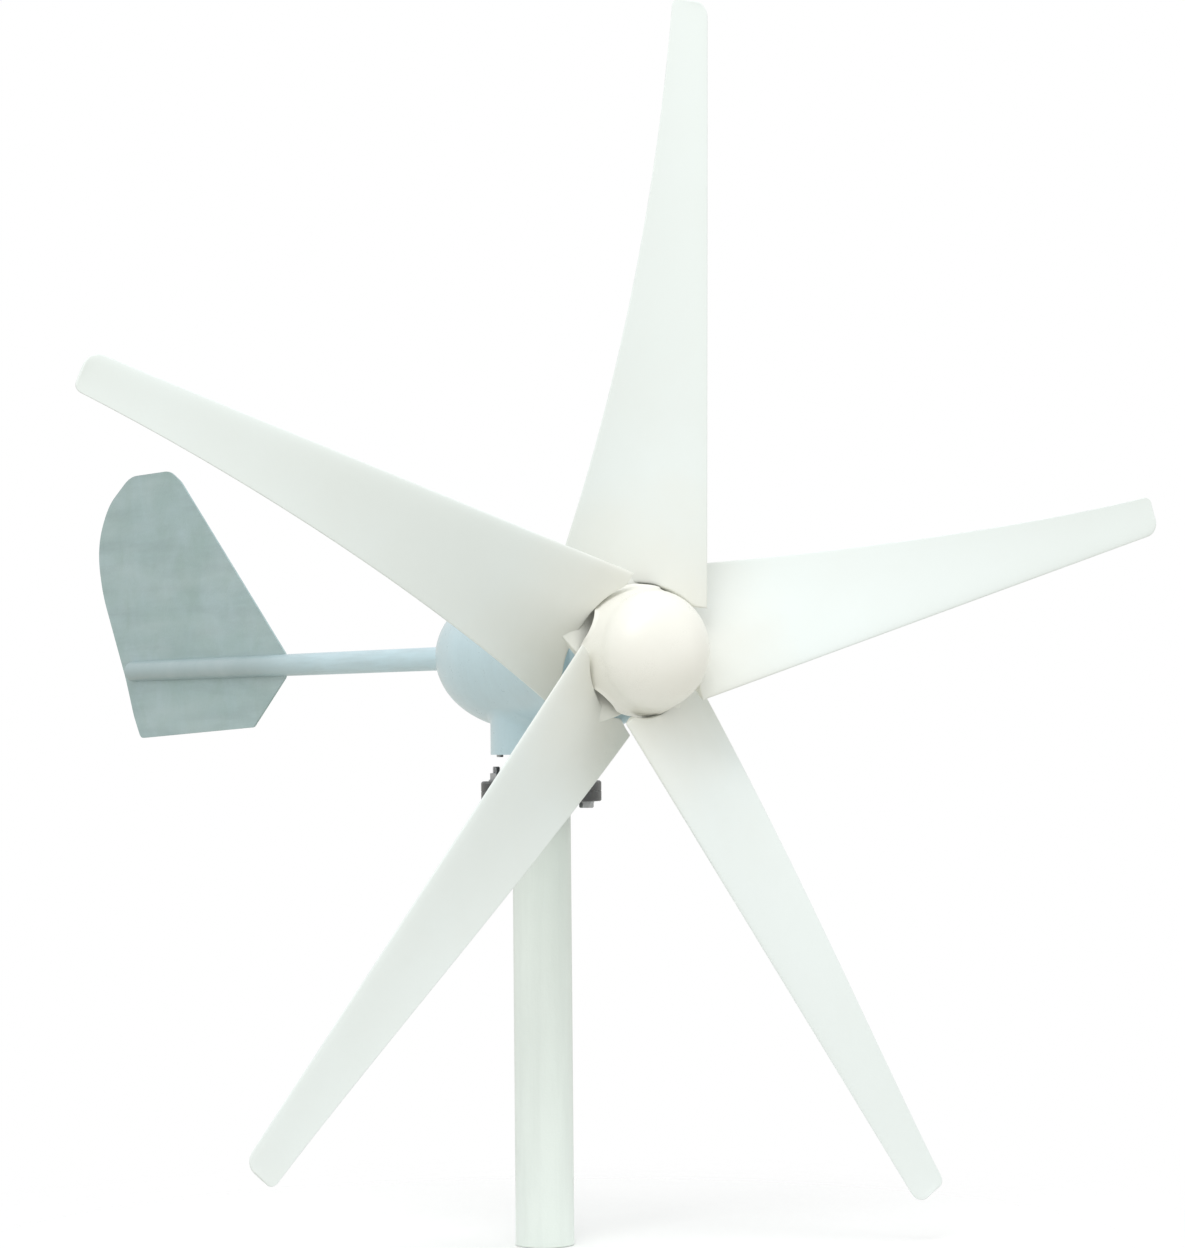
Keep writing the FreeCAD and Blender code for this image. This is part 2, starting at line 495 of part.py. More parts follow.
def rounded_outline(corners, radii):
    """Closed wire through the corners, each one replaced by an arc of its own radius."""
    count = len(corners)
    arcs = []
    for k, (corner, radius) in enumerate(zip(corners, radii)):
        to_last = (corners[k - 1] - corner).normalize()
        to_next = (corners[(k + 1) % count] - corner).normalize()
        half = to_last.getAngle(to_next) / 2
        reach = radius / math.tan(half)
        limit = 0.49 * min((corners[k - 1] - corner).Length, (corners[(k + 1) % count] - corner).Length)
        reach = min(reach, limit)
        radius = reach * math.tan(half)
        inward = (to_last + to_next).normalize()
        middle = corner + inward * (radius / math.sin(half) - radius)
        arcs.append((corner + to_last * reach, middle, corner + to_next * reach))
    edges = []
    for k, (start, middle, end) in enumerate(arcs):
        edges.append(Part.Arc(start, middle, end).toShape())
        edges.append(Part.makeLine(end, arcs[(k + 1) % count][0]))
    return Part.Wire(edges)


# ---------------------------------------------------------------- rotor
HUB_DISC = 53.0
HUB_DISC_Y = (-182.0, -172.0)
TONGUE_Y = (-192.0, -182.0)
CLAMP_Y = (-196.0, -192.0)
CLAMP_RADIUS = 51.0
TONGUE_INNER = 29.0
TONGUE_OUTER = 57.0
TONGUE_ROUND = 64.0         # radius about the rotor axis that rounds the wedges' outer corners
TONGUE_GAP = 0.5            # between the root wedges of neighbouring blades
GUSSET_END = 84.0           # distance from the rotor axis where the root web ends inside the wing
BLADE_ROOT = 47.0
ROOT_NOTCH = 67.0           # radius about the rotor axis cut out of each blade's root, clear of the nose
BLADE_BOLTS = ((-9.5, 34.5), (9.5, 34.5), (0.0, 46.5))     # (across, out) from the rotor axis
NOSE_POST_CIRCLE = 43.5
NOSE_BASE_Y = -226.0
NOSE_RADIUS = 59.0
NOSE_DEPTH = 44.0


def blade_point(out, along, side):
    """Point of the aerofoil at distance out from the rotor axis, blade pointing up.

    along runs from the leading edge (0) to the trailing edge (1); side is 1 on the downwind
    skin, -1 on the upwind skin and 0 midway between them.
    """
    left = 1 - (out - BLADE_ROOT) / (ROTOR_RADIUS - BLADE_ROOT)
    lead = Vector(20 + 42 * left, ROTOR_Y - 6 * left, 0)
    trail = Vector(-20 - 54 * left ** 1.6, ROTOR_Y + 2 + 75 * left ** 2.6, 0)
    chord = trail - lead
    downwind = Vector(chord.y, -chord.x, 0).normalize()
    thickness = 4 + 8 * left ** 1.2
    camber = 0.035 * chord.Length
    edge = 0.6
    half = 5 * thickness * (0.2969 * math.sqrt(along) - 0.126 * along - 0.3516 * along ** 2
                            + 0.2843 * along ** 3 - 0.1036 * along ** 4) + edge * along
    rise = 4 * camber * along * (1 - along)
    return lead + chord * along + downwind * (rise + side * half) + Vector(0, 0, HUB_Z + out)


def blade_section(out):
    """Closed wire of the aerofoil at distance out from the rotor axis."""
    stations = [0.5 * (1 - math.cos(math.pi * k / 9)) for k in range(10)]
    loop = [blade_point(out, along, 1) for along in reversed(stations)]
    loop += [blade_point(out, along, -1) for along in stations[1:]]
    curve = Part.BSplineCurve()
    curve.interpolate(loop)
    return Part.Wire([curve.toShape(), Part.makeLine(loop[-1], loop[0])])


def corner_piece(corner_x, tip_z, towards_x, radius):
    """What rounding a tip corner removes, through the blade: a square less a disc.

    The disc is slightly larger than the rounding, so it crosses the edges at an angle.
    """
    depth, overshoot = 60.0, 1.0
    centre = Vector(corner_x - towards_x * radius, ROTOR_Y - depth / 2, tip_z - radius)
    size = radius + 2 * overshoot
    low = centre if towards_x > 0 else centre - X_AXIS * size
    square = Part.makeBox(size, depth, size, low)
    return square.cut(Part.makeCylinder(radius + overshoot, depth, centre, Y_AXIS))


def make_blade():
    steps = (0.0, 0.06, 0.14, 0.26, 0.42, 0.6, 0.8, 1.0)
    span = ROTOR_RADIUS - BLADE_ROOT
    wing = Part.makeLoft([blade_section(BLADE_ROOT + span * step) for step in steps], True, False)
    tip_z = HUB_Z + ROTOR_RADIUS
    notch = rod(HUB + Y_AXIS * (ROTOR_Y - 40), Y_AXIS, ROOT_NOTCH, 150)
    wing = wing.cut([corner_piece(20.0, tip_z, 1, 14.0), corner_piece(-20.0, tip_z, -1, 8.0), notch])

    front, rear = TONGUE_Y
    inner, outer = root_half_width(TONGUE_INNER), root_half_width(TONGUE_OUTER)
    wedge = [(-inner, TONGUE_INNER), (inner, TONGUE_INNER), (outer, TONGUE_OUTER), (-outer, TONGUE_OUTER)]
    tongue = face_of([Vector(x, front, HUB_Z + out) for x, out in wedge]).extrude(Y_AXIS * (rear - front))
    tongue = tongue.common(ring_on_rotor(0, TONGUE_ROUND, front - 1, rear + 1))
    step = 0.6
    web_half = math.sqrt(TONGUE_ROUND ** 2 - TONGUE_OUTER ** 2) - step
    foot = [Vector(x, y, HUB_Z + TONGUE_OUTER)
            for x, y in ((-web_half, front), (web_half, front), (web_half, rear), (-web_half, rear))]
    web_share = 0.45            # of the wing's thickness, so the web's end lies inside the wing
    head = [blade_point(GUSSET_END, along, side)
            for along, side in ((0.58, -web_share), (0.2, -web_share), (0.2, web_share), (0.58, web_share))]
    gusset = Part.makeLoft([Part.makePolygon(ring + ring[:1]) for ring in (foot, head)], True, True)
    blade = fused([wing, gusset, tongue])

    holes = [rod(Vector(x, front - 1, HUB_Z + out), Y_AXIS, FREE_HOLE[M6], 12) for x, out in BLADE_BOLTS]
    half_way = 180.0 / BLADE_COUNT
    nose_hole = rod(Vector(0, front - 1, HUB_Z + NOSE_POST_CIRCLE), Y_AXIS, FREE_HOLE[M4], 12)
    return blade.cut(holes + [nose_hole.rotated(HUB, Y_AXIS, turn) for turn in (-half_way, half_way)])


def root_half_width(out):
    """Half the width of a blade's root wedge; the wedges fill the circle but for thin gaps."""
    half_pitch = math.pi / BLADE_COUNT
    return out * math.tan(half_pitch) - TONGUE_GAP / 2 / math.cos(half_pitch)


def on_each_blade(shape):
    return around_rotor(shape, BLADE_COUNT, REST_TURN)


def build_rotor():
    for number, blade in enumerate(on_each_blade(make_blade()), start=1):
        parts["blade_%d" % number] = blade

    bolt_holes = []
    for x, out in BLADE_BOLTS:
        bolt_holes += on_each_blade(rod(Vector(x, -200, HUB_Z + out), Y_AXIS, FREE_HOLE[M6], 40))
    half_way = 180.0 / BLADE_COUNT
    nose_hole = rod(Vector(0, -200, HUB_Z + NOSE_POST_CIRCLE), Y_AXIS, FREE_HOLE[M4], 40)
    nose_holes = around_rotor(nose_hole, BLADE_COUNT, REST_TURN + half_way)

    disc_front, disc_rear = HUB_DISC_Y
    hub = turned_on_rotor([
        (-190, 9), (-190, 21), (disc_front, 21), (disc_front, HUB_DISC), (disc_rear - 1, HUB_DISC),
        (disc_rear, HUB_DISC - 1), (disc_rear, 29), (-166, 23), (-158, 23), (-158, 9)])
    key_slot = block((-3, 3), (-192, -150), (HUB_Z + 8, HUB_Z + 11.5))
    parts["hub_plate"] = hub.cut([key_slot] + bolt_holes + nose_holes)
    clamp_front, clamp_rear = CLAMP_Y
    clamp = turned_on_rotor([
        (clamp_front, 22.5), (clamp_front, CLAMP_RADIUS - 1), (clamp_front + 1, CLAMP_RADIUS),
        (clamp_rear, CLAMP_RADIUS), (clamp_rear, 22.5)])
    parts["clamp_plate"] = clamp.cut(bolt_holes + nose_holes)

    m6_flats, m6_head, m6_nut = 10.0, 4.0, 5.0
    bolts, nuts = [], []
    for x, out in BLADE_BOLTS:
        head = Vector(x, CLAMP_Y[0], HUB_Z + out)
        bolts += on_each_blade(hex_bolt(head, Y_AXIS, M6, 32, m6_flats, m6_head))
        nuts += on_each_blade(hex_nut(Vector(x, disc_rear, HUB_Z + out), Y_AXIS, M6, m6_flats, m6_nut))
    parts["blade_bolts"] = group(bolts)
    parts["blade_nuts"] = group(nuts)

    parts["shaft_washer"] = ring_on_rotor(8.2, 16.0, -193, -190)
    nut = placed(hexagon(24.0, 13.0), Vector(0, -193, HUB_Z), -Y_AXIS)
    parts["shaft_nut"] = nut.cut(ring_on_rotor(0, 8.0, -210, -190))

    parts["nose_cone"] = make_nose(half_way)
    nose_screw = socket_screw(Vector(0, disc_rear, HUB_Z + NOSE_POST_CIRCLE), -Y_AXIS, M4, 36, 3.5, 3.8)
    parts["nose_screws"] = group(around_rotor(nose_screw, BLADE_COUNT, REST_TURN + half_way))


def make_nose(half_way):
    """Domed shell with an arch over each blade root and a petal between each pair."""
    wall = 2.5

    def half_egg(radius, depth, skirt_radius, skirt_end):
        rim = Vector(0, NOSE_BASE_Y, HUB_Z + radius)
        tip = Vector(0, NOSE_BASE_Y - depth, HUB_Z)
        ellipse = Part.Ellipse(rim, tip, Vector(0, NOSE_BASE_Y, HUB_Z))
        curve = Part.ArcOfEllipse(ellipse, 0, math.pi / 2).toBSpline().toShape()
        skirt = Vector(0, skirt_end, HUB_Z + skirt_radius)
        centre = Vector(0, skirt_end, HUB_Z)
        lines = [Part.makeLine(rim, skirt), Part.makeLine(skirt, centre), Part.makeLine(centre, tip)]
        return revolved(Part.Face(Part.Wire([curve] + lines)), HUB, Y_AXIS)

    skirt_end, flare = -198.0, 7.0
    outer = half_egg(NOSE_RADIUS, NOSE_DEPTH, NOSE_RADIUS + flare, skirt_end)
    inner = half_egg(NOSE_RADIUS - wall, NOSE_DEPTH - wall, NOSE_RADIUS + flare - wall, skirt_end)
    shell = outer.cut(inner)
    arch_radius, arch_rise = 21.0, 11.0
    arch_centre = Vector(0, skirt_end - arch_rise + arch_radius, HUB_Z + 30)
    arch = Part.makeCylinder(arch_radius, 60, arch_centre, Z_AXIS)
    shell = shell.cut(on_each_blade(arch))
    post = rod(Vector(0, CLAMP_Y[0], HUB_Z + NOSE_POST_CIRCLE), -Y_AXIS, 4.5, 70)
    post = post.common(half_egg(NOSE_RADIUS - 1, NOSE_DEPTH - 1, NOSE_RADIUS, skirt_end + 10))
    pilot = rod(Vector(0, CLAMP_Y[0], HUB_Z + NOSE_POST_CIRCLE), -Y_AXIS, M4, 20)
    posts = around_rotor(post, BLADE_COUNT, REST_TURN + half_way)
    pilots = around_rotor(pilot, BLADE_COUNT, REST_TURN + half_way)
    return fused([shell] + posts).cut(pilots)


# ---------------------------------------------------------------- build and write
def main():
    build_mast()
    build_spindle()
    build_body()
    build_covers()
    build_generator()
    build_brushes()
    build_tail()
    build_rotor()
    os.makedirs("parts", exist_ok=True)
    for name, shape in parts.items():
        shape.exportStep("parts/%s.step" % name)
        print("%-22s solids %2d  valid %s  volume %.1f cm3"
              % (name, len(shape.Solids), shape.isValid(), shape.Volume / 1000))
    print(len(parts), "parts")


main()
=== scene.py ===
"""Finishes, moulded detail and studio for the small five-blade wind turbine.

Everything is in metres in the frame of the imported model: +Z up along the mast and the yaw
axis, the rotor axis along Y with the nose towards -Y. The rotor turns clockwise seen from
the nose, so a blade's leading edge is its clockwise side.
"""

import json
import math

import bpy
import bmesh
from mathutils import Matrix, Vector


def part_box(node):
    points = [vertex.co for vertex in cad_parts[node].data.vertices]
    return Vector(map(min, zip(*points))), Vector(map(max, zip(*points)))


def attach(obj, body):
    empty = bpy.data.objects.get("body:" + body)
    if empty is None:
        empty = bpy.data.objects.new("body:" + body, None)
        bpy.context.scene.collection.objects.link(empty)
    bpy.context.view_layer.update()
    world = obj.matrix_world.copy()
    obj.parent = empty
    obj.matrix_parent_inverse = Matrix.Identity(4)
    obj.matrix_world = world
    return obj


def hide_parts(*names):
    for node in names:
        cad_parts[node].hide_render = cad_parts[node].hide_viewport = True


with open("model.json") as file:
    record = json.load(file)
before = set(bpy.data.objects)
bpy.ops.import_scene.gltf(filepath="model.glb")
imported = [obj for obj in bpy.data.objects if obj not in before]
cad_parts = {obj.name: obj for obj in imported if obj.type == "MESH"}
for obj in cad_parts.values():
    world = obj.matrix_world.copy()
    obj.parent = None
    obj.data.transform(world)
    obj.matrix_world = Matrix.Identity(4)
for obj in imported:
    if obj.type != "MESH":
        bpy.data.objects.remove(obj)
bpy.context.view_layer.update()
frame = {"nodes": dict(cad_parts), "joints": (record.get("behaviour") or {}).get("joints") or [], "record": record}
NODES = frame["nodes"]
MM = 0.001

# ---------------------------------------------------------------- places: the hub's height taken from the frame, the rest given
HUB_Z = next(j for j in frame["joints"] if j["name"] == "rotor_spin")["pos_m"][2]
HUB = Vector((0, 0, HUB_Z))
ROTOR_Y = -215.0 * MM
ROTOR_RADIUS = 650.0 * MM
BLADE_ROOT = 47.0 * MM
ROOT_NOTCH = 67.0 * MM
TONGUE_INNER, TONGUE_OUTER, TONGUE_GAP = 29.0 * MM, 57.0 * MM, 0.5 * MM
TONGUE_FRONT_Y, TONGUE_REAR_Y = -192.0 * MM, -182.0 * MM
TONGUE_ROUND = 64.0 * MM
GUSSET_END = 84.0 * MM
BLADE_COUNT = 5
REST_TURN = 5.0            # first blade's turn about +Y, in degrees
BLADE_STEP = 360.0 / BLADE_COUNT


# ---------------------------------------------------------------- node groups
def new_group(name, inputs, outputs):
    """Shader group with named sockets; returns its tree, its input node and its output node."""
    tree = bpy.data.node_groups.new(name, "ShaderNodeTree")
    for label, kind, value in inputs:
        socket = tree.interface.new_socket(label, in_out="INPUT", socket_type="NodeSocket" + kind)
        socket.default_value = value
    for label, kind in outputs:
        tree.interface.new_socket(label, in_out="OUTPUT", socket_type="NodeSocket" + kind)
    return tree, tree.nodes.new("NodeGroupInput"), tree.nodes.new("NodeGroupOutput")


def connect(tree, source, target):
    tree.links.new(source, target)


def object_point(tree):
    return tree.nodes.new("ShaderNodeTexCoord").outputs["Object"]


def math_node(tree, operation, first, second, clamp=False):
    node = tree.nodes.new("ShaderNodeMath")
    node.operation = operation
    node.use_clamp = clamp
    for slot, value in enumerate((first, second)):
        if isinstance(value, (int, float)):
            node.inputs[slot].default_value = value
        else:
            connect(tree, value, node.inputs[slot])
    return node.outputs[0]


def noise_value(tree, point, scale, detail=4.0, roughness=0.55, distortion=0.0):
    node = tree.nodes.new("ShaderNodeTexNoise")
    node.inputs["Detail"].default_value = detail
    node.inputs["Roughness"].default_value = roughness
    node.inputs["Distortion"].default_value = distortion
    connect(tree, point, node.inputs["Vector"])
    if isinstance(scale, (int, float)):
        node.inputs["Scale"].default_value = scale
    else:
        connect(tree, scale, node.inputs["Scale"])
    return node.outputs["Fac"]


def spread(tree, value, low, high):
    """Stretches the range low..high to 0..1 and clips it."""
    node = tree.nodes.new("ShaderNodeMapRange")
    node.inputs["From Min"].default_value = low
    node.inputs["From Max"].default_value = high
    connect(tree, value, node.inputs["Value"])
    return node.outputs["Result"]


def mix_colour(tree, amount, first, second):
    node = tree.nodes.new("ShaderNodeMix")
    node.data_type = "RGBA"
    factor, a, b = node.inputs[0], node.inputs[6], node.inputs[7]
    for socket, value in ((factor, amount), (a, first), (b, second)):
        if isinstance(value, (int, float, tuple)):
            socket.default_value = value
        else:
            connect(tree, value, socket)
    return node.outputs[2]


def per_metre(tree, size):
    """Texture scale for a feature size given in metres."""
    return math_node(tree, "DIVIDE", 1.0, size)


def tone_drift_group():
    """Slow change of colour over a surface, with fine specks."""
    tree, start, end = new_group(
        "tone drift",
        [("Colour", "Color", (0.8, 0.8, 0.8, 1)), ("Drift Colour", "Color", (0.7, 0.7, 0.7, 1)),
         ("Drift Size", "Float", 0.12), ("Drift Amount", "Float", 0.5),
         ("Speck Size", "Float", 0.002), ("Speck Amount", "Float", 0.08)],
        [("Colour", "Color")])
    point = object_point(tree)
    cloud = noise_value(tree, point, per_metre(tree, start.outputs["Drift Size"]), 5.0, 0.6, 0.6)
    cloud = math_node(tree, "MULTIPLY", spread(tree, cloud, 0.34, 0.68),
                      start.outputs["Drift Amount"])
    tone = mix_colour(tree, cloud, start.outputs["Colour"], start.outputs["Drift Colour"])
    speck = noise_value(tree, point, per_metre(tree, start.outputs["Speck Size"]), 2.0, 0.5)
    speck = math_node(tree, "MULTIPLY", spread(tree, speck, 0.45, 0.8),
                      start.outputs["Speck Amount"])
    connect(tree, mix_colour(tree, speck, tone, start.outputs["Drift Colour"]), end.inputs["Colour"])
    return tree


def relief_group():
    """Fine grain over a slow swell, for bump and roughness."""
    tree, start, end = new_group(
        "surface relief",
        [("Grain Size", "Float", 0.0012), ("Grain Height", "Float", 0.3),
         ("Swell Size", "Float", 0.02), ("Swell Height", "Float", 0.5)],
        [("Height", "Float"), ("Grain", "Float")])
    point = object_point(tree)
    grain = noise_value(tree, point, per_metre(tree, start.outputs["Grain Size"]), 3.0, 0.5)
    swell = noise_value(tree, point, per_metre(tree, start.outputs["Swell Size"]), 2.0, 0.4)
    height = math_node(tree, "ADD", math_node(tree, "MULTIPLY", grain, start.outputs["Grain Height"]),
                       math_node(tree, "MULTIPLY", swell, start.outputs["Swell Height"]))
    connect(tree, height, end.inputs["Height"])
    mixed = math_node(tree, "ADD", math_node(tree, "MULTIPLY", grain, 0.5),
                      math_node(tree, "MULTIPLY", swell, 0.5))
    connect(tree, spread(tree, mixed, 0.3, 0.7), end.inputs["Grain"])
    return tree


def edge_wear_and_shade_group():
    """Mask that is 1 on convex edges, broken up by noise: rubbed wear on most finishes, painted shade on the blade
    edges.
    """
    tree, start, end = new_group(
        "rubbed edges",
        [("Reach", "Float", 0.001), ("Amount", "Float", 0.6), ("Break Size", "Float", 0.006)],
        [("Mask", "Float")])
    bevel = tree.nodes.new("ShaderNodeBevel")
    bevel.samples = 4
    connect(tree, start.outputs["Reach"], bevel.inputs["Radius"])
    geometry = tree.nodes.new("ShaderNodeNewGeometry")
    dot = tree.nodes.new("ShaderNodeVectorMath")
    dot.operation = "DOT_PRODUCT"
    connect(tree, bevel.outputs["Normal"], dot.inputs[0])
    connect(tree, geometry.outputs["Normal"], dot.inputs[1])
    edge = spread(tree, math_node(tree, "SUBTRACT", 1.0, dot.outputs["Value"]), 0.01, 0.16)
    broken = noise_value(tree, object_point(tree), per_metre(tree, start.outputs["Break Size"]),
                         4.0, 0.65)
    broken = spread(tree, broken, 0.42, 0.6)
    mask = math_node(tree, "MULTIPLY", math_node(tree, "MULTIPLY", edge, broken),
                     start.outputs["Amount"], clamp=True)
    connect(tree, mask, end.inputs["Mask"])
    return tree


def streak_group():
    """Mask of long soft marks, drawn out along one direction by a stretch vector."""
    tree, start, end = new_group(
        "drawn streaks",
        [("Stretch", "Vector", (1.0, 1.0, 0.1)), ("Size", "Float", 0.01), ("Amount", "Float", 0.3)],
        [("Mask", "Float")])
    scaled = tree.nodes.new("ShaderNodeVectorMath")
    scaled.operation = "MULTIPLY"
    connect(tree, object_point(tree), scaled.inputs[0])
    connect(tree, start.outputs["Stretch"], scaled.inputs[1])
    marks = noise_value(tree, scaled.outputs["Vector"], per_metre(tree, start.outputs["Size"]),
                        5.0, 0.6, 0.3)
    mask = math_node(tree, "MULTIPLY", spread(tree, marks, 0.45, 0.72), start.outputs["Amount"])
    connect(tree, mask, end.inputs["Mask"])
    return tree


def spangle_group():
    """Crystal patches, as on zinc: a value for each patch and its borders."""
    tree, start, end = new_group(
        "zinc spangle", [("Size", "Float", 0.01)], [("Patch", "Float"), ("Border", "Float")])
    point = object_point(tree)
    for feature, output, target in (("F1", "Color", "Patch"),
                                    ("DISTANCE_TO_EDGE", "Distance", "Border")):
        cells = tree.nodes.new("ShaderNodeTexVoronoi")
        cells.feature = feature
        connect(tree, point, cells.inputs["Vector"])
        connect(tree, per_metre(tree, start.outputs["Size"]), cells.inputs["Scale"])
        if target == "Patch":
            split = tree.nodes.new("ShaderNodeSeparateColor")
            connect(tree, cells.outputs[output], split.inputs[0])
            connect(tree, split.outputs[0], end.inputs[target])
        else:
            connect(tree, spread(tree, cells.outputs[output], 0.0, 0.06), end.inputs[target])
    return tree


TONE_DRIFT = tone_drift_group()
RELIEF = relief_group()
EDGE_WEAR_AND_SHADE = edge_wear_and_shade_group()
STREAKS = streak_group()
SPANGLE = spangle_group()


def place_group(tree, group, **values):
    node = tree.nodes.new("ShaderNodeGroup")
    node.node_tree = group
    for label, value in values.items():
        socket = node.inputs[label.replace("_", " ")]
        if hasattr(value, "is_linked"):
            connect(tree, value, socket)
        else:
            socket.default_value = value
    return node


# ---------------------------------------------------------------- finishes
SKY = (0.52, 0.69, 0.755)
SKY_DRIFT = (0.50, 0.635, 0.68)


def rgba(colour):
    return (*colour, 1.0)


def start_material(name):
    material = bpy.data.materials.new(name)
    material.use_nodes = True
    tree = material.node_tree
    return material, tree, tree.nodes["Principled BSDF"]


def add_relief(tree, shader, relief, distance):
    bump = tree.nodes.new("ShaderNodeBump")
    bump.inputs["Strength"].default_value = 1.0
    bump.inputs["Distance"].default_value = distance
    connect(tree, relief.outputs["Height"], bump.inputs["Height"])
    connect(tree, bump.outputs["Normal"], shader.inputs["Normal"])


def varied_roughness(tree, shader, grain, low, high):
    node = tree.nodes.new("ShaderNodeMapRange")
    node.inputs["To Min"].default_value = low
    node.inputs["To Max"].default_value = high
    connect(tree, grain, node.inputs["Value"])
    connect(tree, node.outputs["Result"], shader.inputs["Roughness"])


def painted(name, colour, drift, roughness, drift_size=0.14, streak=(1.0, 1.0, 0.12),
            streak_amount=0.12, streak_colour=None, wear=0.35, coat=0.2):
    """Sprayed or powder-coated metal: orange-peel relief, faint run-off marks, rubbed edges."""
    bare = (0.55, 0.56, 0.57)
    orange_peel = 0.00022
    material, tree, shader = start_material(name)
    tone = place_group(tree, TONE_DRIFT, Colour=rgba(colour), Drift_Colour=rgba(drift),
                       Drift_Size=drift_size, Drift_Amount=0.6, Speck_Size=0.0016, Speck_Amount=0.1)
    marks = place_group(tree, STREAKS, Stretch=streak, Size=0.014, Amount=streak_amount)
    dirt = streak_colour or tuple(0.72 * part for part in drift)
    stained = mix_colour(tree, marks.outputs["Mask"], tone.outputs["Colour"], rgba(dirt))
    edge = place_group(tree, EDGE_WEAR_AND_SHADE, Reach=0.0009, Amount=wear, Break_Size=0.007)
    connect(tree, mix_colour(tree, edge.outputs["Mask"], stained, rgba(bare)),
            shader.inputs["Base Color"])
    relief = place_group(tree, RELIEF, Grain_Size=0.0022, Grain_Height=0.6,
                         Swell_Size=0.012, Swell_Height=0.8)
    add_relief(tree, shader, relief, orange_peel)
    varied_roughness(tree, shader, relief.outputs["Grain"], roughness - 0.07, roughness + 0.09)
    shader.inputs["Coat Weight"].default_value = coat
    shader.inputs["Coat Roughness"].default_value = 0.25
    return material


def nose_plastic():
    """Cream moulded plastic: fine spark grain, faint flow marks and scuffed edges."""
    cream, drift, scuffed = (0.89, 0.885, 0.83), (0.85, 0.84, 0.77), (0.93, 0.93, 0.92)
    material, tree, shader = start_material("nose_plastic")
    tone = place_group(tree, TONE_DRIFT, Colour=rgba(cream), Drift_Colour=rgba(drift),
                       Drift_Size=0.18, Drift_Amount=0.4, Speck_Size=0.0009, Speck_Amount=0.06)
    marks = place_group(tree, STREAKS, Stretch=(1.0, 1.0, 1.0), Size=0.03, Amount=0.1)
    flowed = mix_colour(tree, marks.outputs["Mask"], tone.outputs["Colour"],
                        rgba(tuple(0.9 * part for part in drift)))
    edge = place_group(tree, EDGE_WEAR_AND_SHADE, Reach=0.0012, Amount=0.25, Break_Size=0.01)
    connect(tree, mix_colour(tree, edge.outputs["Mask"], flowed, rgba(scuffed)),
            shader.inputs["Base Color"])
    relief = place_group(tree, RELIEF, Grain_Size=0.0007, Grain_Height=0.5,
                         Swell_Size=0.03, Swell_Height=0.6)
    add_relief(tree, shader, relief, 0.00006)
    varied_roughness(tree, shader, relief.outputs["Grain"], 0.3 - 0.06, 0.3 + 0.08)
    return material


def bare_metal(name, colour, tarnish, roughness, line=(1.0, 1.0, 1.0), line_size=0.002,
               line_amount=0.35, spangle_size=None, relief_height=0.00004):
    """Machined, plated or drawn metal: tool lines or zinc patches, tarnish and bright edges."""
    material, tree, shader = start_material(name)
    shader.inputs["Metallic"].default_value = 1.0
    tone = place_group(tree, TONE_DRIFT, Colour=rgba(colour), Drift_Colour=rgba(tarnish),
                       Drift_Size=0.02, Drift_Amount=0.5, Speck_Size=0.0008, Speck_Amount=0.2)
    marks = place_group(tree, STREAKS, Stretch=line, Size=line_size, Amount=line_amount)
    base = mix_colour(tree, marks.outputs["Mask"], tone.outputs["Colour"], rgba(tarnish))
    if spangle_size:
        patches = place_group(tree, SPANGLE, Size=spangle_size)
        amount = math_node(tree, "MULTIPLY", patches.outputs["Patch"], 0.35)
        base = mix_colour(tree, amount, base, rgba(tarnish))
    edge = place_group(tree, EDGE_WEAR_AND_SHADE, Reach=0.0005, Amount=0.7, Break_Size=0.004)
    bright = tuple(min(1.0, 1.25 * part) for part in colour)
    connect(tree, mix_colour(tree, edge.outputs["Mask"], base, rgba(bright)),
            shader.inputs["Base Color"])
    relief = place_group(tree, RELIEF, Grain_Size=0.0006, Grain_Height=0.6,
                         Swell_Size=0.006, Swell_Height=0.5)
    add_relief(tree, shader, relief, relief_height)
    varied_roughness(tree, shader, relief.outputs["Grain"], roughness - 0.08, roughness + 0.12)
    return material


def soft_black(name, colour, drift, roughness):
    """Rubber, carbon and phenolic: matt, fine-grained, slightly greyed."""
    material, tree, shader = start_material(name)
    tone = place_group(tree, TONE_DRIFT, Colour=rgba(colour), Drift_Colour=rgba(drift),
                       Drift_Size=0.01, Drift_Amount=0.7, Speck_Size=0.0006, Speck_Amount=0.3)
    connect(tree, tone.outputs["Colour"], shader.inputs["Base Color"])
    relief = place_group(tree, RELIEF, Grain_Size=0.0008, Grain_Height=0.8,
                         Swell_Size=0.008, Swell_Height=0.4)
    add_relief(tree, shader, relief, 0.00008)
    varied_roughness(tree, shader, relief.outputs["Grain"], roughness - 0.08, roughness + 0.1)
    return material


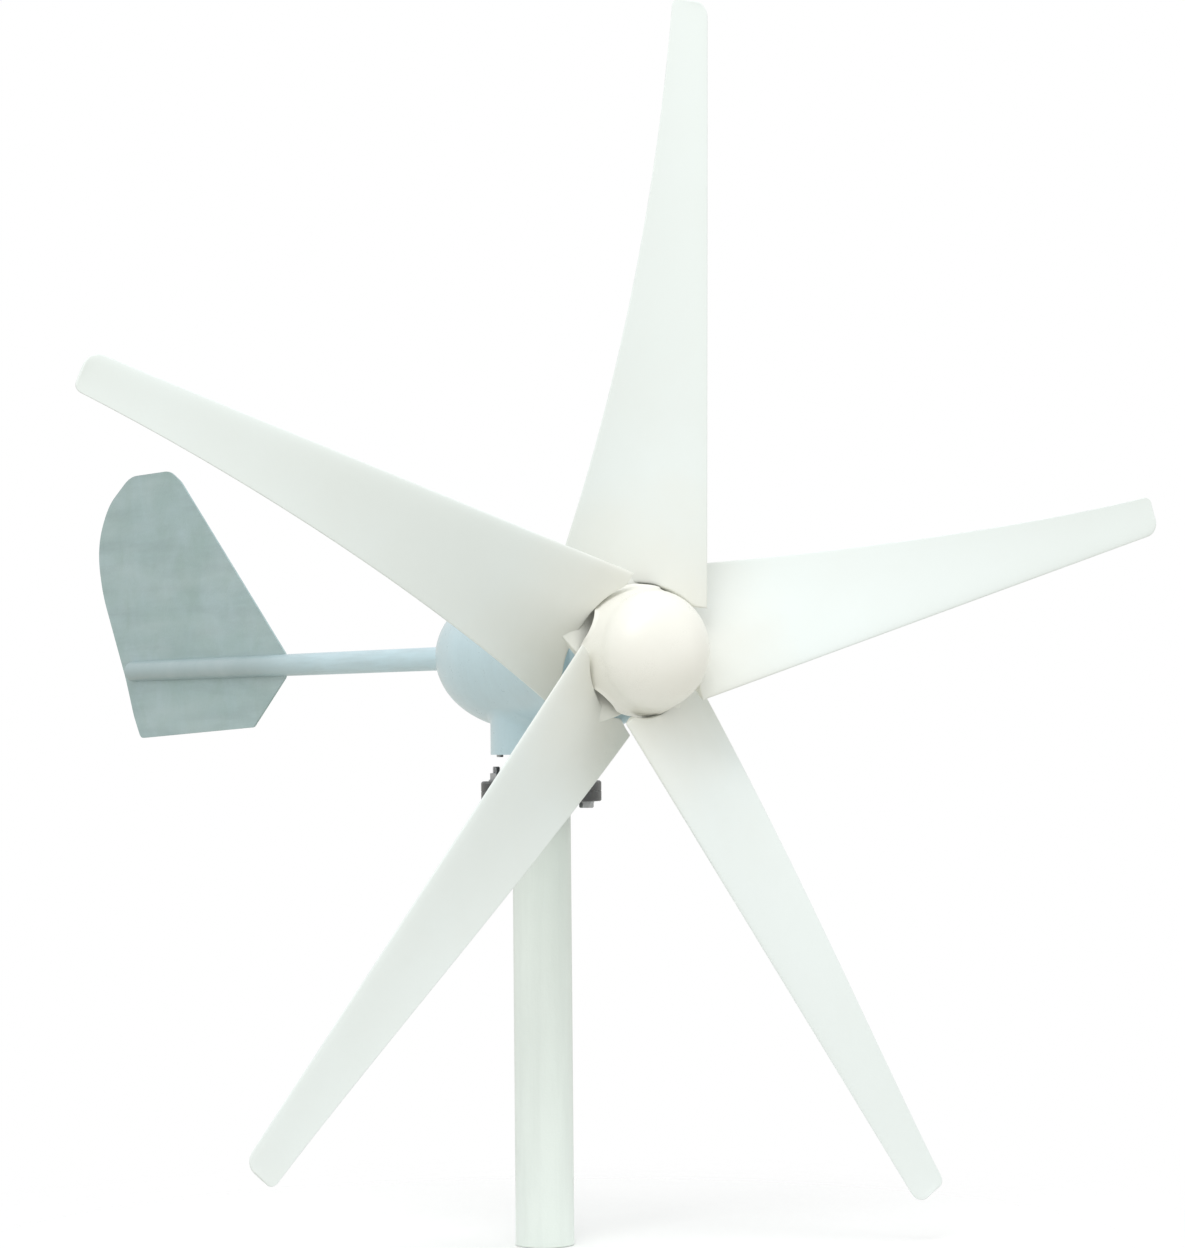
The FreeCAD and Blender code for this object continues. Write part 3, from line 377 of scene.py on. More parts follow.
def blade_plastic():
    """White moulded nylon with flow marks along each blade, plus painted shade: a creamier, darker tone round the
    hub and dark grey edges.
    """
    material, tree, shader = start_material("blade_nylon")
    cool = place_group(tree, TONE_DRIFT, Colour=rgba((0.815, 0.87, 0.86)),
                       Drift_Colour=rgba((0.79, 0.84, 0.82)), Drift_Size=0.2, Drift_Amount=0.6,
                       Speck_Size=0.0009, Speck_Amount=0.06)
    # painted shade: this creamier, darker tone stands in for the shade round the nose and the blade roots
    cream = place_group(tree, TONE_DRIFT, Colour=rgba((0.81, 0.815, 0.76)),
                        Drift_Colour=rgba((0.77, 0.77, 0.70)), Drift_Size=0.05, Drift_Amount=0.5,
                        Speck_Size=0.0009, Speck_Amount=0.06)
    from_axis = tree.nodes.new("ShaderNodeVectorMath")
    from_axis.operation = "SUBTRACT"
    from_axis.inputs[1].default_value = (0, 0, HUB_Z)
    connect(tree, object_point(tree), from_axis.inputs[0])
    flat = tree.nodes.new("ShaderNodeVectorMath")
    flat.operation = "MULTIPLY"
    flat.inputs[1].default_value = (1, 0, 1)
    connect(tree, from_axis.outputs[0], flat.inputs[0])
    distance = tree.nodes.new("ShaderNodeVectorMath")
    distance.operation = "LENGTH"
    connect(tree, flat.outputs[0], distance.inputs[0])
    wander = math_node(tree, "MULTIPLY", noise_value(tree, object_point(tree), 14.0, 3.0), 0.08)
    place = math_node(tree, "ADD", distance.outputs["Value"], wander)
    # painted shade near the hub, blending into the plain nylon further out along the blade
    tone = mix_colour(tree, spread(tree, place, 0.09, 0.22), cream.outputs["Colour"], cool.outputs["Colour"])
    marks = place_group(tree, STREAKS, Stretch=(0.4, 1.0, 0.4), Size=0.05, Amount=0.12)
    flowed = mix_colour(tree, marks.outputs["Mask"], tone, rgba((0.77, 0.79, 0.75)))
    # painted shade: the dark grey on the blade edges stands in for shade on their thin edge faces, not wear
    edge = place_group(tree, EDGE_WEAR_AND_SHADE, Reach=0.0014, Amount=0.6, Break_Size=0.05)
    connect(tree, mix_colour(tree, edge.outputs["Mask"], flowed, rgba((0.42, 0.42, 0.44))),
            shader.inputs["Base Color"])
    relief = place_group(tree, RELIEF, Grain_Size=0.0007, Grain_Height=0.5, Swell_Size=0.03, Swell_Height=0.6)
    add_relief(tree, shader, relief, 0.00006)
    varied_roughness(tree, shader, relief.outputs["Grain"], 0.36, 0.5)
    return material


def tail_sheet_paint():
    """Thin grey-blue paint over rolled sheet: cloudy patches and long marks along the sheet."""
    material, tree, shader = start_material("tail_sheet_paint")
    cloud = place_group(tree, TONE_DRIFT, Colour=rgba((0.34, 0.47, 0.475)),
                        Drift_Colour=rgba((0.41, 0.53, 0.56)), Drift_Size=0.16, Drift_Amount=0.9,
                        Speck_Size=0.004, Speck_Amount=0.25)
    patches = place_group(tree, TONE_DRIFT, Colour=cloud.outputs["Colour"],
                          Drift_Colour=rgba((0.31, 0.43, 0.41)), Drift_Size=0.07,
                          Drift_Amount=0.75, Speck_Size=0.0015, Speck_Amount=0.15)
    rolled = place_group(tree, STREAKS, Stretch=(1.0, 0.09, 1.0), Size=0.018, Amount=0.5)
    base = mix_colour(tree, rolled.outputs["Mask"], patches.outputs["Colour"], rgba((0.27, 0.36, 0.37)))
    pale = place_group(tree, STREAKS, Stretch=(1.0, 0.2, 1.0), Size=0.05, Amount=0.35)
    base = mix_colour(tree, pale.outputs["Mask"], base, rgba((0.50, 0.60, 0.62)))
    edge = place_group(tree, EDGE_WEAR_AND_SHADE, Reach=0.0012, Amount=0.8, Break_Size=0.015)
    connect(tree, mix_colour(tree, edge.outputs["Mask"], base, rgba((0.22, 0.27, 0.28))),
            shader.inputs["Base Color"])
    relief = place_group(tree, RELIEF, Grain_Size=0.003, Grain_Height=0.4, Swell_Size=0.09, Swell_Height=4.0)
    add_relief(tree, shader, relief, 0.0006)
    varied_roughness(tree, shader, relief.outputs["Grain"], 0.38, 0.6)
    shader.inputs["Coat Weight"].default_value = 0.1
    shader.inputs["Coat Roughness"].default_value = 0.4
    return material


def boom_paint():
    """The body's paint, shading into the tail sheet's paint along the boom."""
    material, tree, shader = start_material("boom_paint")
    near = place_group(tree, TONE_DRIFT, Colour=rgba(SKY), Drift_Colour=rgba(SKY_DRIFT),
                       Drift_Size=0.08, Drift_Amount=0.6, Speck_Size=0.0016, Speck_Amount=0.1)
    far = place_group(tree, TONE_DRIFT, Colour=rgba((0.33, 0.44, 0.46)),
                      Drift_Colour=rgba((0.40, 0.50, 0.52)), Drift_Size=0.09, Drift_Amount=0.8,
                      Speck_Size=0.002, Speck_Amount=0.2)
    split = tree.nodes.new("ShaderNodeSeparateXYZ")
    connect(tree, object_point(tree), split.inputs[0])
    wander = noise_value(tree, object_point(tree), 9.0, 3.0)
    place = math_node(tree, "ADD", split.outputs["Y"], math_node(tree, "MULTIPLY", wander, 0.12))
    along = spread(tree, place, 0.54, 0.74)
    marks = place_group(tree, STREAKS, Stretch=(1.0, 0.08, 1.0), Size=0.006, Amount=0.35)
    base = mix_colour(tree, along, near.outputs["Colour"], far.outputs["Colour"])
    base = mix_colour(tree, marks.outputs["Mask"], base, rgba((0.36, 0.45, 0.47)))
    edge = place_group(tree, EDGE_WEAR_AND_SHADE, Reach=0.0009, Amount=0.5, Break_Size=0.007)
    connect(tree, mix_colour(tree, edge.outputs["Mask"], base, rgba((0.5, 0.51, 0.52))),
            shader.inputs["Base Color"])
    relief = place_group(tree, RELIEF, Grain_Size=0.002, Grain_Height=0.6, Swell_Size=0.015, Swell_Height=0.8)
    add_relief(tree, shader, relief, 0.0002)
    varied_roughness(tree, shader, relief.outputs["Grain"], 0.32, 0.5)
    shader.inputs["Coat Weight"].default_value = 0.25
    shader.inputs["Coat Roughness"].default_value = 0.3
    return material


FINISHES = {
    "mast_paint": painted("mast_paint", (0.76, 0.82, 0.775), (0.70, 0.765, 0.72), 0.4, drift_size=0.2,
                          streak=(1.0, 1.0, 0.08), streak_amount=0.16),
    # near-black: partly the steel's own dark finish, partly painted shade under the nacelle's neck
    "dark_steel": painted("dark_steel", (0.030, 0.033, 0.036), (0.055, 0.057, 0.058), 0.5,
                          streak_amount=0.25, streak_colour=(0.09, 0.08, 0.07), wear=0.6),
    "body_paint": painted("body_paint", SKY, SKY_DRIFT, 0.32, drift_size=0.11, coat=0.6),
    "tail_paint": tail_sheet_paint(),
    "boom_paint": boom_paint(),
    "blade_nylon": blade_plastic(),
    "nose_plastic": nose_plastic(),
    "zinc_steel": bare_metal("zinc_steel", (0.52, 0.53, 0.54), (0.34, 0.35, 0.36), 0.38, spangle_size=0.004),
    "hub_steel": painted("hub_steel", (0.030, 0.031, 0.033), (0.05, 0.05, 0.05), 0.45, wear=0.5),
    "turned_steel": bare_metal("turned_steel", (0.56, 0.56, 0.57), (0.36, 0.35, 0.34), 0.28,
                               line=(1.0, 12.0, 1.0), line_size=0.02, line_amount=0.5),
    "bearing_steel": bare_metal("bearing_steel", (0.66, 0.66, 0.67), (0.5, 0.5, 0.5), 0.14, line_amount=0.15),
    "lamination": bare_metal("lamination", (0.24, 0.25, 0.27), (0.13, 0.13, 0.14), 0.42,
                             line=(0.05, 1.0, 0.05), line_size=0.0008, line_amount=0.8),
    "copper_winding": bare_metal("copper_winding", (0.56, 0.23, 0.09), (0.33, 0.12, 0.05), 0.3,
                                 line=(0.2, 1.0, 1.0), line_size=0.0008, line_amount=0.6),
    "magnet": bare_metal("magnet", (0.5, 0.5, 0.51), (0.36, 0.36, 0.37), 0.22, line_amount=0.2),
    "bare_casting": bare_metal("bare_casting", (0.58, 0.59, 0.6), (0.42, 0.43, 0.44), 0.45,
                               relief_height=0.0002, line_amount=0.2),
    "seal_rubber": soft_black("seal_rubber", (0.018, 0.018, 0.018), (0.035, 0.034, 0.032), 0.62),
    "insulator": soft_black("insulator", (0.085, 0.055, 0.032), (0.13, 0.08, 0.045), 0.4),
    "slip_brass": bare_metal("slip_brass", (0.72, 0.5, 0.22), (0.48, 0.31, 0.13), 0.2,
                             line=(0.05, 0.05, 1.0), line_size=0.0006, line_amount=0.5),
    "brush_carbon": soft_black("brush_carbon", (0.03, 0.028, 0.027), (0.07, 0.05, 0.04), 0.45),
    "spring_steel": bare_metal("spring_steel", (0.55, 0.55, 0.56), (0.4, 0.4, 0.4), 0.25, line_amount=0.2),
}


def finish_cad_nodes():
    """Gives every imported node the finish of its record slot, in place of its plain one."""
    for entry in frame["record"]["subparts"]:
        node = NODES[entry["node"]]
        material = FINISHES["boom_paint" if entry["node"] == "tail_boom" else entry["material_slot"]]
        node.data.materials.clear()
        node.data.materials.append(material)


# ---------------------------------------------------------------- mesh helpers
def add_ring(bm, points):
    return [bm.verts.new(point) for point in points]


def bridge(bm, first, second):
    """Quads between two rings of the same length."""
    for k in range(len(first)):
        n = (k + 1) % len(first)
        bm.faces.new((first[k], first[n], second[n], second[k]))


def cap(bm, ring, middle):
    """Closes a ring with a smaller ring half-way to a middle point and a fan round that point."""
    centre = bm.verts.new(middle)
    inner = add_ring(bm, [vert.co.lerp(centre.co, 0.5) for vert in ring])
    bridge(bm, ring, inner)
    for k in range(len(inner)):
        n = (k + 1) % len(inner)
        bm.faces.new((inner[k], inner[n], centre))


def make_piece(name, bm, body, slot, replaced=(), subdivide=0, crease_angle=None):
    """Turns a mesh under construction into a finished piece that rides on a body."""
    bmesh.ops.remove_doubles(bm, verts=bm.verts, dist=1e-7)
    bmesh.ops.recalc_face_normals(bm, faces=bm.faces)
    mesh = bpy.data.meshes.new(name)
    bm.to_mesh(mesh)
    bm.free()
    mesh.materials.append(FINISHES[slot])
    piece = bpy.data.objects.new(name, mesh)
    bpy.context.scene.collection.objects.link(piece)
    for face in mesh.polygons:
        face.use_smooth = True
    if crease_angle is not None:
        mesh.set_sharp_from_angle(angle=math.radians(crease_angle))
    if subdivide:
        smooth = piece.modifiers.new("smooth", "SUBSURF")
        smooth.levels = subdivide
        smooth.render_levels = subdivide
    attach(piece, body)
    if replaced:
        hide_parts(*replaced)


def turned_about_rotor(degrees):
    """Turn about the rotor axis; positive is clockwise seen from the nose."""
    there, back = Matrix.Translation(HUB), Matrix.Translation(-HUB)
    return there @ Matrix.Rotation(math.radians(degrees), 4, "Y") @ back


# ---------------------------------------------------------------- blades
def smooth_step(value, low=0.0, high=1.0):
    part = min(1.0, max(0.0, (value - low) / (high - low)))
    return part * part * (3 - 2 * part)


def aerofoil_at(out):
    """Leading edge, chord, downwind direction, thickness, edge thickness and root fold."""
    left = 1 - (out - BLADE_ROOT) / (ROTOR_RADIUS - BLADE_ROOT)
    lead = Vector((20 + 42 * left, -215 - 6 * left, 0)) * MM
    trail = Vector((-20 - 54 * left ** 1.6, -213 + 75 * left ** 2.6, 0)) * MM
    from_tip = ROTOR_RADIUS - out
    lead_round, trail_round, face_round = 14 * MM, 8 * MM, 1.8 * MM
    if from_tip < lead_round:
        lead.x -= lead_round - math.sqrt(max(0.0, lead_round ** 2 - (lead_round - from_tip) ** 2))
    if from_tip < trail_round:
        trail.x += trail_round - math.sqrt(max(0.0, trail_round ** 2 - (trail_round - from_tip) ** 2))
    chord = trail - lead
    downwind = Vector((chord.y, -chord.x, 0)).normalized()
    shrink = 1.0
    if from_tip < face_round:
        shrink = math.sqrt(max(0.02, 1 - ((face_round - from_tip) / face_round) ** 2))
    thickness = (4 + 8 * left ** 1.2) * MM * shrink
    edge = (1.0 + 1.6 * left) * MM * shrink
    fold = 0.15 * chord.length * smooth_step(left, 0.70, 1.0)
    return lead, chord, downwind, thickness, edge, fold


def blade_point(out, along, side):
    """Point of the skin at a share of the chord; side is 1 downwind and -1 upwind."""
    lead, chord, downwind, thickness, edge, fold = aerofoil_at(out)
    half = 5 * thickness * (0.2969 * math.sqrt(along) - 0.126 * along - 0.3516 * along ** 2
                            + 0.2843 * along ** 3 - 0.1036 * along ** 4)
    blunt = 0.985
    if along > blunt:
        half += 0.5 * edge * math.sqrt(max(0.0, 1 - ((along - blunt) / (1 - blunt)) ** 2))
    else:
        half += 0.5 * edge * along
    camber = 0.14 * chord.length * along * (1 - along)
    bend = fold * (smooth_step(along, 0.35, 1.0) - along)
    return lead + chord * along + downwind * (camber + bend + side * half) + Vector((0, 0, HUB_Z + out))


def root_start(along, side):
    """Where the skin starts at this share of the chord: the root's cut, hollowed clear of the nose."""
    out = BLADE_ROOT
    for _ in range(3):
        across = blade_point(out, along, side).x
        out = max(BLADE_ROOT, math.sqrt(max(0.0, ROOT_NOTCH ** 2 - across ** 2)))
    return out


def blade_stations():
    """Distances of the sections from the rotor axis, closer together at the root and the tip."""
    span = ROTOR_RADIUS - BLADE_ROOT
    outs = [BLADE_ROOT + gap * MM for gap in (0.0, 0.5, 1.4, 3.0, 5.5)]
    outs += [BLADE_ROOT + 9 * MM + (span - 25 * MM) * (k / 46) ** 1.2 for k in range(47)]
    outs += [ROTOR_RADIUS - gap * MM for gap in (13, 10, 7.5, 5.5, 4, 2.8, 1.9, 1.2, 0.7, 0.3, 0.06)]
    return outs


def build_wing(bm):
    count = 30
    shares = [0.5 * (1 - math.cos(math.pi * k / count)) for k in range(count + 1)]
    loop = [(along, 1) for along in reversed(shares)] + [(along, -1) for along in shares[1:]]
    starts = [root_start(along, side) for along, side in loop]
    settle = 0.22 * (ROTOR_RADIUS - BLADE_ROOT)
    rings = []
    for out in blade_stations():
        share = smooth_step(settle - (out - BLADE_ROOT), 0.0, settle)
        rings.append([blade_point(out + (start - BLADE_ROOT) * share, along, side)
                      for (along, side), start in zip(loop, starts)])
    corner = 1.2 * MM
    middle = [(point + rings[0][-k - 1]) / 2 for k, point in enumerate(rings[0])]
    for ring, inset in zip(rings, (corner, 0.45 * corner, 0.1 * corner)):
        for k, point in enumerate(ring):
            inward = middle[k] - point
            inward.z = 0
            reach = min(inset, 0.7 * inward.length)
            if inward.length > 1e-6:
                point += inward.normalized() * reach
    verts = [add_ring(bm, ring) for ring in rings]
    for lower, upper in zip(verts, verts[1:]):
        bridge(bm, lower, upper)
    for ring in (verts[0], verts[-1]):
        for k in range(1, len(ring) // 2):
            bm.faces.new((ring[k - 1], ring[k], ring[-k - 1], ring[-k]))


def root_half_width(out):
    """Half the width of a blade's root wedge; the wedges fill the circle but for thin gaps."""
    half_pitch = math.pi / BLADE_COUNT
    return out * math.tan(half_pitch) - TONGUE_GAP / 2 / math.cos(half_pitch)


def soft_section(corners, radius):
    """Ring of points round a four-cornered section whose corners are rounded."""
    steps, along = 5, 14
    ring = []
    for k, corner in enumerate(corners):
        before, after = corners[k - 1], corners[(k + 1) % 4]
        start = corner + (before - corner).normalized() * radius
        end = corner + (after - corner).normalized() * radius
        for step in range(steps):
            share = step / (steps - 1)
            ring.append(start.lerp(corner, share).lerp(corner.lerp(end, share), share))
        next_start = after + (corner - after).normalized() * radius
        ring += [end.lerp(next_start, step / along) for step in range(1, along)]
    return ring


def build_root(bm):
    """The bolted root wedge and the web that carries it into the wing."""
    corner = 1.2 * MM

    def flat_section(out, inset):
        half = min(root_half_width(out), math.sqrt(TONGUE_ROUND ** 2 - out ** 2)) - inset
        front, rear = TONGUE_FRONT_Y + inset, TONGUE_REAR_Y - inset
        return [Vector((x, y, HUB_Z + out))
                for x, y in ((-half, front), (half, front), (half, rear), (-half, rear))]

    sections = [flat_section(TONGUE_INNER, 0.8 * MM), flat_section(TONGUE_INNER + 0.3 * MM, 0.25 * MM)]
    sections += [flat_section(TONGUE_INNER + gap * MM, 0.0)
                 for gap in (1.0, 10.0, 19.0, 21.5, 23.0, 24.5, 26.0, 27.2)]
    foot = flat_section(TONGUE_OUTER, 0.0)
    head = [blade_point(GUSSET_END, along, side)
            for along, side in ((0.58, -0.45), (0.2, -0.45), (0.2, 0.45), (0.58, 0.45))]
    rows = 8
    for row in range(rows + 1):
        share = row / rows
        eased = 0.4 * share + 0.6 * smooth_step(share)
        section = [low.lerp(high, eased) for low, high in zip(foot, head)]
        for point in section:
            point.z = HUB_Z + TONGUE_OUTER + (GUSSET_END - TONGUE_OUTER) * share
        sections.append(section)
    rings = [add_ring(bm, soft_section(section, corner)) for section in sections]
    for lower, upper in zip(rings, rings[1:]):
        bridge(bm, lower, upper)
    for ring in (rings[0], rings[-1]):
        cap(bm, ring, sum((vert.co for vert in ring), Vector()) / len(ring))


def build_blades():
    for number in range(BLADE_COUNT):
        bm = bmesh.new()
        build_wing(bm)
        build_root(bm)
        bmesh.ops.transform(bm, matrix=turned_about_rotor(REST_TURN - BLADE_STEP * number), verts=bm.verts)
        name = "blade_%d" % (number + 1)
        make_piece("moulded_" + name, bm, "rotor", "blade_nylon", (name,), subdivide=1, crease_angle=60)


# ---------------------------------------------------------------- nose cone
NOSE_BASE_Y, NOSE_DEPTH, NOSE_RADIUS = -226.0, 44.0, 59.0
NOSE_SKIRT_Y, NOSE_FLARE, NOSE_WALL = -198.0, 7.0, 2.5
ARCH_RADIUS, ARCH_CENTRE_Y = 21.0, -188.0
POST_CIRCLE, POST_RADIUS, POST_BORE, POST_SIDES = 43.5 * MM, 4.5 * MM, 2 * MM, 24
POST_TOP_Y, POST_FOOT_Y, BORE_MOUTH_Y, BORE_END_Y = -247, -196.4, -196.0, -216


def nose_rim(angle):
    """Y of the skirt's edge at an angle from a blade's centre line, and its share of an arch."""
    across = (NOSE_RADIUS + 2) * math.sin(angle)
    if abs(across) >= ARCH_RADIUS or math.cos(angle) < 0:
        return NOSE_SKIRT_Y, 0.0
    top = ARCH_CENTRE_Y - math.sqrt(ARCH_RADIUS ** 2 - across ** 2)
    return min(NOSE_SKIRT_Y, top), smooth_step(NOSE_SKIRT_Y - top, 0.5, 6.0)


def build_nose():
    """Domed shell, petals between the blades, and arches with a rolled lip over the blade roots."""
    bm = bmesh.new()
    per_blade = 60
    columns = per_blade * BLADE_COUNT
    dome_rows, skirt_rows = 26, 14
    lip_height, lip_width = 1.7, 2.6

    def outer_radius(y):
        if y <= NOSE_BASE_Y:
            part = (NOSE_BASE_Y - y) / NOSE_DEPTH
            return NOSE_RADIUS * math.sqrt(max(0.0, 1 - part * part))
        return NOSE_RADIUS + NOSE_FLARE * (y - NOSE_BASE_Y) / (NOSE_SKIRT_Y - NOSE_BASE_Y)

    pitch, first_blade = 2 * math.pi / BLADE_COUNT, math.radians(REST_TURN)
    grid = []
    for column in range(columns):
        angle = 2 * math.pi * column / columns
        nearest = first_blade + pitch * round((angle - first_blade) / pitch)
        rim_y, arched = nose_rim(angle - nearest)
        outer = []
        for row in range(dome_rows):
            lean = math.pi / 2 * (row + 1) / dome_rows
            outer.append((NOSE_BASE_Y - NOSE_DEPTH * math.cos(lean), NOSE_RADIUS * math.sin(lean)))
        for row in range(1, skirt_rows + 1):
            y = NOSE_BASE_Y + (rim_y - NOSE_BASE_Y) * (row / skirt_rows) ** 0.8
            to_rim = rim_y - y
            lip = lip_height * math.exp(-(to_rim / lip_width) ** 2) * arched
            outer.append((y, outer_radius(y) + lip))
        last_y, last_r = outer[-1]
        edge = [(last_y + 0.5, last_r - 0.3), (last_y + 0.8, last_r - 1.2),
                (last_y + 0.5, last_r - 2.2)]
        inner = [(y, max(0.4, radius - NOSE_WALL)) for y, radius in reversed(outer[dome_rows - 1:])]
        inner += [(min(y + NOSE_WALL, NOSE_BASE_Y),
                   max(0.4, radius - NOSE_WALL * min(1.0, radius / 20)))
                  for y, radius in reversed(outer[:dome_rows - 1])]
        grid.append([Vector((radius * MM * math.sin(angle), y * MM,
                             HUB_Z + radius * MM * math.cos(angle)))
                     for y, radius in outer + edge + inner])
    rings = [add_ring(bm, [grid[column][row] for column in range(columns)])
             for row in range(len(grid[0]))]
    for first, second in zip(rings, rings[1:]):
        bridge(bm, first, second)
    tip_y = NOSE_BASE_Y - NOSE_DEPTH
    for ring, y in ((rings[0], tip_y), (rings[-1], tip_y + NOSE_WALL)):
        centre = bm.verts.new(Vector((0, y * MM, HUB_Z)))
        for k in range(columns):
            bm.faces.new((ring[k], ring[(k + 1) % columns], centre))

    for number in range(BLADE_COUNT):
        turn = turned_about_rotor(REST_TURN + BLADE_STEP * (number + 0.5))
        post, bore = ([turn @ Vector((radius * math.sin(a), 0,
                                      HUB_Z + POST_CIRCLE + radius * math.cos(a)))
                       for a in (2 * math.pi * k / POST_SIDES for k in range(POST_SIDES))]
                      for radius in (POST_RADIUS, POST_BORE))
        levels = [(post, POST_TOP_Y), (post, POST_FOOT_Y), (bore, BORE_MOUTH_Y), (bore, BORE_END_Y)]
        post_rings = [add_ring(bm, [Vector((p.x, y * MM, p.z)) for p in ring])
                      for ring, y in levels]
        for first, second in zip(post_rings, post_rings[1:]):
            bridge(bm, first, second)
        bm.faces.new(post_rings[0])
        bm.faces.new(post_rings[-1])
    make_piece("nose_dome", bm, "rotor", "nose_plastic", ("nose_cone",), crease_angle=50)


# ---------------------------------------------------------------- flange hardware and weld
def add_thread(bm, foot, tip_z, radius, pitch):
    """Threaded stud from foot up to tip_z, cut as one continuous helical groove."""
    around, per_pitch = 28, 8
    depth = 0.61 * pitch
    length = tip_z - foot.z
    rows = int(length / pitch * per_pitch)
    rings = []
    for row in range(rows + 1):
        z = length * row / rows
        fade = min(1.0, max(0.0, (length - z) / (1.2 * pitch)))
        ring = []
        for k in range(around):
            angle = 2 * math.pi * k / around
            phase = (z / pitch - k / around) % 1.0
            groove = max(0.0, 1 - abs(phase - 0.5) * 2.6)
            size = radius - depth * groove - 0.5 * depth * (1 - fade)
            ring.append(foot + Vector((size * math.cos(angle), size * math.sin(angle), z)))
        rings.append(add_ring(bm, ring))
    for first, second in zip(rings, rings[1:]):
        bridge(bm, first, second)
    for ring, z in ((rings[0], foot.z), (rings[-1], tip_z)):
        cap(bm, ring, Vector((foot.x, foot.y, z)))


def add_hex_head(bm, centre, across_flats, low, high):
    """Hexagonal head with turned-off corners on its outer face, the low one."""
    around = 48
    flat = across_flats / 2
    corner = flat / math.cos(math.pi / 6)
    rings = []
    for z, share in ((low, 0.86), (low + 0.0002, 0.9), (low + 0.0011, 1.0), (high - 0.0003, 1.0),
                     (high, 0.985)):
        ring = []
        for k in range(around):
            angle = 2 * math.pi * k / around
            within = (angle + math.pi / 6) % (math.pi / 3) - math.pi / 6
            size = min(flat / math.cos(within), corner * share)
            ring.append(Vector((centre.x + size * math.cos(angle),
                                centre.y + size * math.sin(angle), z)))
        rings.append(add_ring(bm, ring))
    for first, second in zip(rings, rings[1:]):
        bridge(bm, first, second)
    cap(bm, rings[0], Vector((centre.x, centre.y, low)))
    cap(bm, rings[-1], Vector((centre.x, centre.y, high)))


def build_flange_bolts():
    bolts, first_turn, circle = 4, 45, 48.0 * MM
    thread, pitch, flats, overlap = 3.95 * MM, 1.25 * MM, 13.0 * MM, 0.0005
    low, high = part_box("flange_bolts")
    washer_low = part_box("flange_washers")[0]
    bm = bmesh.new()
    for k in range(bolts):
        angle = math.radians(first_turn + 360 // bolts * k)
        centre = Vector((circle * math.cos(angle), circle * math.sin(angle), 0))
        add_hex_head(bm, centre, flats, low.z, washer_low.z)
        add_thread(bm, Vector((centre.x, centre.y, washer_low.z - overlap)), high.z, thread, pitch)
    make_piece("threaded_flange_bolts", bm, "mast", "zinc_steel", ("flange_bolts",), crease_angle=35)


def build_flange_weld():
    """Rippled fillet weld between the mast tube and the underside of its flange."""
    tube_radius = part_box("mast_tube")[1].x
    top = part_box("mast_tube")[1].z
    around, across, ripples = 360, 10, 74
    leg, ripple_height, bulge = 6.1, 0.45, 0.0009
    sink, root_sink = 0.0002, 0.0004
    bm = bmesh.new()
    rings = []
    for k in range(around):
        angle = 2 * math.pi * k / around
        ripple = 0.5 + 0.5 * math.cos(ripples * angle + 0.6 * math.sin(7 * angle))
        wander = math.sin(5 * angle + 1.0) * 0.25
        ring = []
        for step in range(across):
            turn = math.pi / 2 * step / (across - 1)
            size = (leg + ripple_height * ripple + wander) * MM
            out = tube_radius - sink + size * (1 - math.sin(turn)) + bulge * math.sin(2 * turn)
            z = top + sink - size * (1 - math.cos(turn)) - bulge * math.sin(2 * turn)
            ring.append(Vector((out * math.cos(angle), out * math.sin(angle), z)))
        root = tube_radius - root_sink
        ring.append(Vector((root * math.cos(angle), root * math.sin(angle), top + root_sink)))
        rings.append(add_ring(bm, ring))
    for k in range(around):
        bridge(bm, rings[k], rings[(k + 1) % around])
    # the weld's near-black dark_steel colour is partly painted shade under the flange
    make_piece("flange_weld", bm, "mast", "dark_steel")


# ---------------------------------------------------------------- studio
def build_floor():
    """Pale round floor that fades into the white surroundings."""
    sides, drop = 96, 0.0005
    bm = bmesh.new()
    centre = bm.verts.new((0, 0, 0))
    turns = [math.tau * k / sides for k in range(sides)]
    rings = [add_ring(bm, [Vector((radius * math.cos(a), radius * math.sin(a), 0)) for a in turns])
             for radius in (0.1, 0.3, 0.6, 1.0, 1.5, 2.2, 3.0)]
    for k in range(sides):
        bm.faces.new((centre, rings[0][k], rings[0][(k + 1) % sides]))
    for first, second in zip(rings, rings[1:]):
        bridge(bm, second, first)
    bmesh.ops.recalc_face_normals(bm, faces=bm.faces)
    mesh = bpy.data.meshes.new("studio_floor")
    bm.to_mesh(mesh)
    bm.free()
    floor = bpy.data.objects.new("studio_floor", mesh)
    bpy.context.scene.collection.objects.link(floor)
    floor.location = (0, 0, -drop)
    material, tree, shader = start_material("studio_floor")
    tone = place_group(tree, TONE_DRIFT, Colour=rgba((0.96, 0.96, 0.955)),
                       Drift_Colour=rgba((0.93, 0.93, 0.925)), Drift_Size=0.6, Drift_Amount=0.5,
                       Speck_Size=0.004, Speck_Amount=0.1)
    connect(tree, tone.outputs["Colour"], shader.inputs["Base Color"])
    shader.inputs["Roughness"].default_value = 0.7
    length = tree.nodes.new("ShaderNodeVectorMath")
    length.operation = "LENGTH"
    connect(tree, object_point(tree), length.inputs[0])
    fade = tree.nodes.new("ShaderNodeMapRange")
    fade.interpolation_type = "SMOOTHSTEP"
    fade.inputs["From Min"].default_value = 0.10
    fade.inputs["From Max"].default_value = 0.85
    fade.inputs["To Min"].default_value = 1.0
    fade.inputs["To Max"].default_value = 0.0
    connect(tree, length.outputs["Value"], fade.inputs["Value"])
    connect(tree, fade.outputs["Result"], shader.inputs["Alpha"])
    mesh.materials.append(material)


def aim(obj, target):
    obj.rotation_euler = (Vector(target) - obj.location).to_track_quat("-Z", "Y").to_euler()


